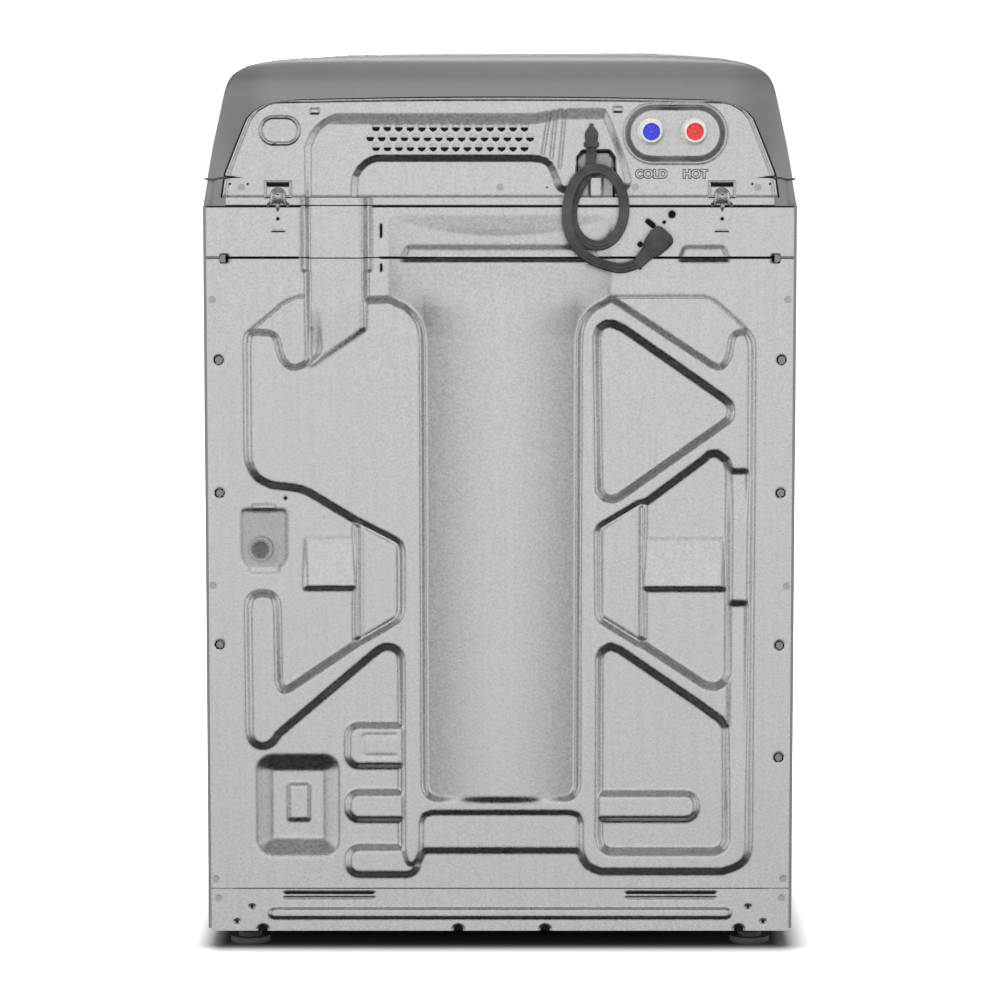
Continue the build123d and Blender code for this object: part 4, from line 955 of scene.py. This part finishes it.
for side, label in ((-1, "left"), (1, "right")):
    u_mid, z_mid = side * 260.5, 908.5
    u, z = np.meshgrid(np.linspace(-16.5, 16.5, 4 * 16 + 1), np.linspace(-11.5, 10.5, 4 * 12 + 1),
                       indexing="ij")
    h, pit = clip_height(u, z)
    sheet_mesh(f"clip_plate_{label}", u + u_mid, z + z_mid, h, pit, np.full(h[::4, ::4].shape, 1.6), 1.4,
               "cabinet",
               clip_steel, "hold_down_clips")
    # the tongue: half round above, straight below, bulging most at its middle
    rise = np.linspace(0, 1, 41)
    tongue_z = 911.0 - 19.0 * rise
    half = 9.6 * np.sqrt(np.clip(1 - np.clip(1 - rise / 0.5, 0, 1) ** 2, 0, 1)) + 0.02
    deep = (2.2 + 3.4 * np.sin(np.pi * np.clip(rise * 0.8 + 0.1, 0, 1))) * (half / 9.62)
    turn = np.linspace(0, 2 * np.pi, 32, endpoint=False)
    tongue = np.stack([-(u_mid + half[:, None] * np.cos(turn)) / 1000,
                       BACK + (3.0 + deep[:, None] * np.maximum(np.sin(turn), -0.2)) / 1000,
                       np.broadcast_to(tongue_z[:, None], (41, 32)) / 1000], -1)
    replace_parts(grid_piece(f"clip_tongue_{label}", tongue, clip_steel, "cabinet", (False, True), (True, True),
                           60),
                "hold_down_clips")
    pin_z = np.array([895, 894.6, 888, 886, 883, 882.6])
    pin_r = np.array([0.5, 2.6, 2.6, 1.8, 0.9, 0.2])
    pin = np.stack([-(u_mid + side * 0.5 + pin_r[:, None] * np.cos(turn)) / 1000,
                    BACK + (3.6 + pin_r[:, None] * np.sin(turn)) / 1000,
                    np.broadcast_to(pin_z[:, None], (6, 32)) / 1000], -1)
    grid_piece(f"clip_pin_{label}", pin, clip_steel, "cabinet", (False, True), (True, True), 30)
    rivet_y = np.array([0.0, 0.8, 1.5, 1.9, 2.0])
    rivet_r = np.array([2.2, 2.2, 1.8, 1.0, 0.05])
    rivet = np.stack([-(u_mid + rivet_r[:, None] * np.cos(turn)) / 1000,
                      np.broadcast_to(BACK + (8.2 + rivet_y[:, None]) / 1000, (5, 32)),
                      (904 + rivet_r[:, None] * np.sin(turn)) / 1000], -1)
    grid_piece(f"clip_rivet_{label}", rivet, clip_steel, "cabinet", (False, True), (True, True), 40)
    for leg_u, leg in ((-11.2, "a"), (11.2, "b")):
        leg_path = np.array([[-(u_mid + leg_u * 0.55) / 1000, BACK + 0.0024, 0.8925],
                             [-(u_mid + leg_u * 0.85) / 1000, BACK + 0.0024, 0.8928],
                             [-(u_mid + leg_u) / 1000, BACK + 0.0024, 0.8915],
                             [-(u_mid + leg_u * 1.02) / 1000, BACK + 0.0024, 0.8880]])
        leg_section = np.stack([0.0017 * square(np.cos(turn), 0.5), 0.0014 * square(np.sin(turn), 0.5)], -1)
        grid_piece(f"clip_leg_{label}_{leg}", swept(leg_path, leg_section, (0, 1, 0)), vinyl,
                           "cabinet",
                           (False, True), (True, True), 40)


# ---- Water inlets ----
# Two white moulded inlets with 3/4 inch hose threads stand in the dish. Each holds a domed strainer screen,
# blue for cold and red for hot. The words below them are pressed into the panel; they are drawn as galvanised
# letters on bolder black letters whose rim is painted shade along the pressed edges.


def plastic_finish(name, color, rough=0.42, fleck=0.12, coat=0.0):
    """Moulded plastic: slight flow clouds, fine matt grain and finger-worn shine."""
    skin = Finish(name, Coat_Weight=coat)
    cloud = skin.at.noise(28.0, 4.0)
    grain = skin.at.noise(1800.0, 2.0)
    deep = tuple(channel * (1 - fleck) for channel in color)
    skin.set(Base_Color=cloud.step(0.3, 0.7).mix(deep, color),
             Roughness=rough + 0.16 * (cloud - 0.5) + 0.06 * grain)
    return skin.bump(grain, 0.12, 0.0002).material


def turned(profile, middle, axis, start, count=64):
    """Rings of points: profile is (radius, distance along axis) in mm, turned about axis through middle."""
    axis = np.array(axis, float) / np.linalg.norm(axis)
    start = np.array(start, float)
    other = np.cross(axis, start)
    angle = np.linspace(0, 2 * np.pi, count, endpoint=False)
    profile = np.asarray(profile, float) / 1000
    ring = np.cos(angle)[:, None] * start + np.sin(angle)[:, None] * other
    return np.array(middle) + profile[:, :1, None] * ring[None] + profile[:, 1:, None] * axis


inlet_white = plastic_finish("inlet_white", (0.72, 0.71, 0.68), 0.38)
for label, tint, place in (("cold", (0.07, 0.08, 0.80), 177), ("hot", (0.84, 0.07, 0.06), 228)):
    foot_y = BACK - 0.008
    profile = [(12.6, -1.0), (12.8, 0), (15.4, 0), (16.0, 0.6), (16.0, 2.4), (15.4, 3.0), (12.6, 3.2)]
    for thread in range(5):
        y = 5.0 + 4.2 * thread
        profile += [(12.3, y - 1.3), (13.35, y - 0.5), (13.35, y + 0.5), (12.3, y + 1.3)]
    profile += [(12.3, 25.2), (11.6, 25.4), (10.4, 25.4), (10.0, 24.8), (10.0, 12.0), (0.05, 12.0)]
    body = turned(profile, (-place / 1000, foot_y, 0.976), (0, 1, 0), (1, 0, 0))
    inlet = grid_piece(f"{label}_inlet_thread", body, inlet_white, "cabinet", (False, True), (True, True), 40)
    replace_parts(inlet, f"{label}_inlet")
    # the strainer: a cup of fine concentric steps with a pip in the middle and eight ribs
    reach = np.concatenate([np.linspace(9.9, 2.2, 56), [2.0, 1.5, 0.8, 0.05]])
    level = np.where(reach > 2.1, 21.5 + 1.2 * (1 - (reach / 9.9) ** 2) + 0.28 * np.sign(np.sin(reach * 4.6)),
                     24.0)
    level[-2:] = 24.3
    outline = np.concatenate([[(9.9, 12.5)], np.stack([reach, level], -1)])
    cup = turned(outline, (-place / 1000, foot_y, 0.976), (0, 1, 0), (1, 0, 0), 96)
    ribs_up = 0.0005 * (np.abs(np.sin(4 * np.linspace(0, 2 * np.pi, 96, endpoint=False))) < 0.22)
    cup[2:-4, :, 1] += ribs_up[None]
    tinted = plastic_finish(f"{label}_screen_plastic", tint, 0.35, 0.25, 0.2)
    screen = grid_piece(f"{label}_screen_mesh", cup, tinted, "cabinet", (False, True), (True, True), 30)
    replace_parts(screen, f"{label}_screen")


def lettering(name, words, middle, height, finish, body, depth, lean=(math.pi / 2, 0, math.pi), lift=0.0):
    """Solid letters: height and depth in metres, standing on a plane turned by lean."""
    curve = bpy.data.curves.new(name, "FONT")
    curve.body = words
    curve.size = height * 1.42
    curve.align_x = "CENTER"
    curve.align_y = "CENTER"
    curve.extrude = depth
    curve.bevel_depth = lift
    holder = bpy.data.objects.new(name, curve)
    mesh = bpy.data.meshes.new_from_object(holder)
    turn = mathutils.Euler(lean).to_matrix().to_4x4()
    turn.translation = middle
    mesh.transform(turn)
    bpy.data.objects.remove(holder)
    bpy.data.curves.remove(curve)
    points = [v.co[:] for v in mesh.vertices]
    faces = [tuple(p.vertices) for p in mesh.polygons]
    bpy.data.meshes.remove(mesh)
    return mesh_piece(name, points, faces, finish, body, 30)


for words, place in (("COLD", 177.5), ("HOT", 229.0)):
    # painted shade: bolder black letters behind the galvanised ones give each word a dark rim for the shade of
    # its pressed edges
    lettering(f"inlet_shade_outline_{words.lower()}", words, (-place / 1000, BACK + 0.0010, 0.9262), 0.0095, vinyl,
              "cabinet",
              0.0002, lift=0.0012)
    lettering(f"inlet_word_{words.lower()}", words, (-place / 1000, BACK + 0.0012, 0.9262), 0.0095,
              galvanised, "cabinet",
              0.0009, lift=0.0006)


# ---- Control fascia, display and knobs ----
# A gloss-black moulded plate on the console's slope, with a display window, printed ticks, numbers and thin
# chromed rims round the two knobs. The knobs are fluted black mouldings with a white pointer line.
SLOPE_AT = np.array([0, 0.203, 1.0015])
SLOPE_OUT = np.array([0, -113, 74]) / math.hypot(113, 74)
SLOPE_UP = np.array([0, 74, 113]) / math.hypot(113, 74)
SLOPE_LEAN = (math.atan2(113, 74), 0, 0)
print_white = plastic_finish("print_white", (0.75, 0.75, 0.76), 0.5)
knob_black = plastic_finish("knob_black", (0.03, 0.03, 0.033), 0.32, 0.2, 0.3)


def slope_point(x, y, lift):
    """A place on the fascia: x across, y up the slope and lift above the slope's plane, mm."""
    return SLOPE_AT + (np.array([x, 0, 0]) + y * SLOPE_UP + lift * SLOPE_OUT) / 1000


def bars(name, places, finish, body):
    """Small flat bars in one mesh: a place is x, y, turn, length, width, low and high lift off the slope."""
    points, faces = [], []
    corners = np.array([(-1, -1), (1, -1), (1, 1), (-1, 1)]) / 2
    for x, y, turn, long, wide, low, high in places:
        c, d = math.cos(turn), math.sin(turn)
        base = len(points)
        for lift, shrink in ((low, 1.0), (high - 0.1, 1.0), (high, 0.9)):
            for p, q in corners:
                p, q = p * long * shrink, q * wide * shrink
                points.append(slope_point(x + p * c - q * d, y + p * d + q * c, lift))
        for level in (0, 4):
            for k in range(4):
                n = (k + 1) % 4
                faces.append((base + level + k, base + level + n, base + level + 4 + n, base + level + 4 + k))
        faces += [(base + 3, base + 2, base + 1, base), (base + 8, base + 9, base + 10, base + 11)]
    return mesh_piece(name, points, faces, finish, body, 30)


PLATE_TOP = 3.0
dial = [(130, 0, 27.0, 12, 0.0, 2 * math.pi), (-160, 0, 19.0, 7, math.radians(-30), math.radians(240))]
ticks = []
for x, y, radius, count, first, sweep in dial:
    for k in range(count):
        turn = first + sweep * k / (count if sweep > 6 else count - 1)
        reach = radius + 5.0
        ticks.append((x + reach * math.cos(turn), y + reach * math.sin(turn), turn, 4.0, 1.0, PLATE_TOP - 0.2,
                      PLATE_TOP + 0.12))
ticks += [(-40 + 6.5 * k, -24, 0, 4.0, 1.2, PLATE_TOP - 0.2, PLATE_TOP + 0.12) for k in range(13)]
ticks += [(225, 20, 0, 14, 0.9, PLATE_TOP - 0.2, PLATE_TOP + 0.12),
          (225, -20, 0, 14, 0.9, PLATE_TOP - 0.2, PLATE_TOP + 0.12)]
bars("fascia_ticks", ticks, print_white, "cabinet")
for k in range(12):
    turn = math.pi / 2 - 2 * math.pi * k / 12
    lettering(f"dial_number_{k + 1}", str(k + 1),
              slope_point(130 + 38 * math.cos(turn), 38 * math.sin(turn), PLATE_TOP), 0.0042, print_white,
              "cabinet",
              0.00012, SLOPE_LEAN)
glow_digits = Finish("display_digits", Roughness=0.3, Emission_Strength=1.2)
shimmer = glow_digits.at.noise(60.0, 2.0)
glow_digits.set(Emission_Color=shimmer.step(0.2, 0.8).mix((0.35, 0.75, 0.95), (0.5, 0.9, 1.0)),
                Base_Color=shimmer.mix((0.2, 0.5, 0.6), (0.3, 0.6, 0.7)))
lettering("display_digits", "0:45", slope_point(0, 0, 2.72), 0.014, glow_digits.material, "cabinet", 0.0001,
          SLOPE_LEAN)

chrome = Finish("chrome_rim", Roughness=0.12)
cloud = chrome.at.noise(200.0, 3.0)
chrome.set(Base_Color=cloud.mix((0.5, 0.5, 0.52), (0.62, 0.62, 0.63)), Metallic=0.94 + 0.06 * cloud,
           Roughness=0.1 + 0.1 * cloud)
for label, (x, radius) in {"cycle_knob": (130, 27.0), "temperature_knob": (-160, 19.0)}.items():
    rim = [(radius + 0.6, 2.8), (radius + 0.6, 3.35), (radius + 1.0, 3.7), (radius + 1.6, 3.7),
           (radius + 2.0, 3.35),
           (radius + 2.0, 2.8)]
    grid_piece(f"{label}_rim", turned(rim, slope_point(x, 0, 0), SLOPE_OUT, (1, 0, 0), 96),
                       chrome.material, "cabinet",
                       (True, True), smooth=40)
    shape = [(4.0, -12.0), (4.0, 3.9), (radius - 1.0, 3.9), (radius - 0.3, 4.2), (radius, 4.8), (radius, 7.6),
             (radius - 0.4, 8.3), (radius - 1.2, 8.6), (0.86 * radius, 8.9), (0.83 * radius, 9.8),
             (0.82 * radius, 12.0),
             (0.80 * radius, 16.0), (0.785 * radius, 20.6), (0.77 * radius, 21.7), (0.74 * radius, 22.3),
             (0.68 * radius, 22.6), (0.64 * radius, 22.3), (0.05, 22.1)]
    grip = turned(shape, (0, 0, 0), SLOPE_OUT, (1, 0, 0), 192)
    angle = np.linspace(0, 2 * np.pi, 192, endpoint=False)
    groove = 1 - 0.045 * np.clip(np.cos(16 * angle), 0, 1) ** 0.7
    heights = (grip @ SLOPE_OUT)[..., None] * SLOPE_OUT
    fluted = (np.arange(len(shape)) >= 9) & (np.arange(len(shape)) <= 13)
    grip = np.where(fluted[:, None, None], heights + (grip - heights) * groove[None, :, None], grip)
    knob = grid_piece(f"{label}_grip", grip + slope_point(x, 0, 0), knob_black, label, (False, True),
                      (True, True), 35)
    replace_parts(knob, label)
    pointer = bars(f"{label}_pointer", [(x, 0.42 * radius, math.pi / 2, 0.38 * radius, 1.6, 21.0, 22.75)],
                   print_white, label)
mark = bars("start_button_mark", [(225 - 3.4, 0, math.pi / 2, 6.0, 1.2, 5.9, 6.12),
                                  (225 - 0.6, 0, math.pi / 2, 4.4, 1.4, 5.9, 6.12),
                                  (225 + 1.0, 0, math.pi / 2, 2.4, 1.4, 5.9, 6.12),
                                  (225 + 4.4, 0, math.pi / 2, 5.6, 1.1, 5.9, 6.12)],
            knob_black, "start_button")


# ---- Basket ----
# The spin basket is rolled from stainless sheet 2 mm thick, punched with staggered drain holes, seamed up one
# side and joined to a floor that is clamped on the hub.
TUB_Y = -0.010


def brushed_finish(name, bright, dull, across=(900.0, 900.0, 14.0), rough=0.28):
    """Brushed steel: long fine grinding lines, cloudy sheen and faint water marks."""
    skin = Finish(name)
    lines = skin.at.node("Mapping", {}, {"Vector": skin.at, "Scale": across}).noise(1.0, 3.0)
    cloud = skin.at.noise(9.0, 4.0)
    skin.set(Base_Color=(0.6 * lines + 0.4 * cloud).step(0.3, 0.7).mix(dull, bright),
             Metallic=0.9 + 0.1 * cloud, Roughness=rough + 0.2 * (lines - 0.4) + 0.08 * cloud)
    return skin.bump(lines, 0.12, 0.0002).material


stainless = brushed_finish("stainless", (0.70, 0.70, 0.69), (0.50, 0.50, 0.49), (14.0, 14.0, 900.0))
COLUMNS = 300
floor_run = along_line([(30, 339), (250, 339), (261, 344), (261, 352)], 8.0, 1)
wall_z = np.linspace(352, 799.5, 99)
centre_line = np.concatenate([floor_run, np.stack([np.full(98, 261.0), wall_z[1:]], -1)])
direction = np.gradient(centre_line, axis=0)
direction /= np.linalg.norm(direction, axis=1)[:, None]
across_skin = np.stack([direction[:, 1], -direction[:, 0]], -1)
skins = []
for side in (1.0, -1.0):
    skins.append(turned(centre_line + across_skin * side, (0, TUB_Y, 0), (0, 0, 1), (1, 0, 0), COLUMNS))
row, column = np.meshgrid(np.arange(len(centre_line) - 1), np.arange(COLUMNS), indexing="ij")
first_wall = len(floor_run)
punched = ((row - first_wall) % 4 == 0) & (column % 4 == 0) | ((row
                                                                - first_wall) % 4 == 2) & (column % 4 == 2)
punched &= (row > first_wall + 2) & (row < len(centre_line) - 8) & (column % 100 > 5)
punched |= (row > 6) & (row < first_wall - 6) & (row % 3 == 0) & (column % 12 == 0)
basket = shell_piece("basket_drum", skins[0], skins[1], ~punched, stainless, "basket", (False, True), 40)
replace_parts(basket, "basket")


# ---- Suspension springs ----
# Four coil springs of 3.6 mm steel wire round the hanger rods under the tub's lugs carry its weight.
spring_steel = brushed_finish("spring_steel", (0.42, 0.42, 0.43), (0.28, 0.28, 0.28), (60.0, 60.0, 60.0),
                              0.35)
corner_names = {(-0.285, -0.265): "front_left", (-0.285, 0.245): "rear_left", (0.285, -0.265): "front_right",
                (0.285, 0.245): "rear_right"}
wire = np.linspace(0, 2 * np.pi, 16, endpoint=False)
for (x, y), label in corner_names.items():
    coil = np.linspace(0, 1, 320)
    pitch = 0.3322 + 0.0656 * np.interp(coil, [0, 0.09, 0.91, 1], [0, 0.045, 0.955, 1])
    turn = 2 * np.pi * 7.5 * coil
    line = np.stack([x + 0.0127 * np.cos(turn), y + 0.0127 * np.sin(turn), pitch], -1)
    section = 0.0018 * np.stack([np.cos(wire), np.sin(wire)], -1)
    spring = grid_piece(f"spring_{label}", swept(line, section, (0, 0, 1)), spring_steel, "cabinet",
                        (False, True), (True, True), 60)
    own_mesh(spring)
    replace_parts(spring, "suspension_springs")


# ---- Drain hose ----
# A ribbed black rubber hose, 22 mm across, from the pump's outlet up the rear corner to the port in the rear
# panel. Its plain ends are pushed on their spigots. The real hose's middle flexes when the tub moves; this mesh
# is one fixed shape on no body.
hose_corners = np.array([(170, 44, 232), (170, 120, 232), (205, 225, 224), (248, 285, 252), (252, 286, 400),
                         (283, 288, 484), (283, 316, 484)], float) / 1000
hose_route = [hose_corners[0]]
for before, corner, after in zip(hose_corners[:-2], hose_corners[1:-1], hose_corners[2:]):
    for other in (before, corner, after):
        reach = np.linalg.norm(other - corner)
        hose_route.append(corner + (other - corner) * min(0.020 / max(reach, 0.001), 0.45))
hose_route.append(hose_corners[-1])
hose_line = curve_points("drain_hose_route", hose_route, 40)
hose_along = np.linspace(0, 1, len(hose_line))
ribbed = (np.abs(hose_along - 0.5) < 0.44) * np.sin(2 * np.pi * 105 * hose_along)
hose_round = np.linspace(0, 2 * np.pi, 28, endpoint=False)
hose_section = 0.0104 * np.stack([np.cos(hose_round), np.sin(hose_round)], -1)
hose_rubber = plastic_finish("hose_ribbed_rubber", (0.055, 0.055, 0.058), 0.6, 0.35)
hose = grid_piece("drain_hose_ribbed", swept(hose_line, hose_section, (1, 0, 0), 1 + 0.05 * ribbed),
                  hose_rubber, None,
                  (False, True), (True, True), 60)
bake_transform(hose)
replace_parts(hose, "drain_hose")


# ---- Finishes of the plain parts ----
# Parts whose turned, drawn or moulded shape is already complete keep it and get the real material's surface,
# and a small round on their cut or moulded edges.
glass = Finish("lid_glass_tinted", Roughness=0.03, Transmission_Weight=0.93, IOR=1.5)
smear = glass.at.noise(12.0, 4.0)
glass.set(Base_Color=smear.mix((0.20, 0.21, 0.22), (0.26, 0.27, 0.28)),
          Roughness=0.02 + 0.06 * smear.step(0.5, 0.9))
glass_x, glass_y, _ = glass.at.split()
edge = glass.at.math("MAXIMUM", (glass_x.size() - 0.185) / 0.003, ((glass_y + 0.115).size() - 0.165) / 0.003)
border = Wire(glass.tree).node("BsdfPrincipled", {}, {"Base Color": (0.012, 0.012, 0.013, 1),
                                                      "Roughness": 0.12})
blend = border.node("MixShader", {}, {0: edge.step(0, 1), 1: Wire(glass.tree, glass.shader.outputs[0]),
                                      2: border})
glass.tree.links.new(blend.socket, glass.tree.nodes["Material Output"].inputs[0])

display = Finish("display_glass", Coat_Weight=0.6, Coat_Roughness=0.03)
haze = display.at.noise(30.0, 3.0)
display.set(Base_Color=haze.mix((0.004, 0.006, 0.008), (0.012, 0.014, 0.018)), Roughness=0.06 + 0.08 * haze)

board = Finish("circuit_board")
traces = board.at.node("TexBrick", {}, {"Vector": board.at, "Scale": 60.0, "Mortar Size": 0.08}, 1)
solder = board.at.node("TexVoronoi", {}, {"Vector": board.at, "Scale": 300.0}, 0)
board.set(Base_Color=traces.mix((0.01, 0.10, 0.03), (0.05, 0.25, 0.07)), Roughness=0.3 + 0.3 * traces,
          Metallic=0.6 * (1 - solder.step(0.05, 0.12)))

cast = Finish("cast_aluminium")
sand = cast.at.noise(600.0, 4.0)
oil = cast.at.noise(14.0, 4.0)
cast.set(Base_Color=oil.step(0.35, 0.7).mix((0.36, 0.36, 0.35), (0.56, 0.56, 0.55)),
         Metallic=0.85 - 0.2 * oil, Roughness=0.42 + 0.2 * sand)
cast.bump(sand, 0.35, 0.0005)

slot_finish = {
    "grey_paint": slate, "galvanised_steel": galvanised,
    "dark_plastic": knob_black, "display_glass": display.material, "lid_glass": glass.material,
    "circuit_board": board.material, "white_plastic": plastic_finish("white_plastic", (0.62, 0.62, 0.60),
                                                                     0.45),
    "grey_plastic": plastic_finish("grey_plastic", (0.36, 0.365, 0.37), 0.42),
    "blue_plastic": knob_black, "red_plastic": knob_black,
    "screw_steel": brushed_finish("zinc_steel", (0.50, 0.50, 0.50), (0.36, 0.36, 0.36), (300.0, 300.0, 300.0),
                                  0.32),
    "hose_rubber": plastic_finish("hose_rubber", (0.055, 0.055, 0.058), 0.6, 0.35),
    "foot_rubber": plastic_finish("foot_rubber", (0.06, 0.06, 0.062), 0.6, 0.4),
    "cast_aluminium": cast.material, "stainless_steel": stainless,
    "motor_black": painted_finish("motor_enamel", (0.045, 0.045, 0.048), (0.02, 0.02, 0.022), 0.0, 0.4),
}
rounded = {"top_deck": 0.5, "lid_frame": 0.6, "detergent_cup": 0.6, "agitator": 2.0, "drive_motor": 1.5,
           "drain_pump": 1.2,
           "tub_ring": 1.2, "console_fascia": 0.7, "start_button": 0.8, "foot_front_left": 0.9,
           "foot_front_right": 0.9,
           "foot_rear_left": 0.9, "foot_rear_right": 0.9, "drain_port": 0.5, "water_valve": 0.8,
           "outer_tub": 1.0}
port_plastic = plastic_finish("port_plastic", (0.36, 0.36, 0.362), 0.5, 0.3)
for part in frame["record"]["subparts"]:
    node = frame["nodes"][part["node"]]
    node.data.materials.clear()
    node.data.materials.append(port_plastic if part["node"] == "drain_port"
                               else slot_finish[part["material_slot"]])
    if part["node"] in rounded:
        weld = node.modifiers.new("weld", "WELD")
        weld.merge_threshold = 1e-6
        bevel = node.modifiers.new("round", "BEVEL")
        bevel.width = rounded[part["node"]] / 1000
        bevel.segments = 2
        bevel.limit_method = "ANGLE"
        bevel.angle_limit = math.radians(50)
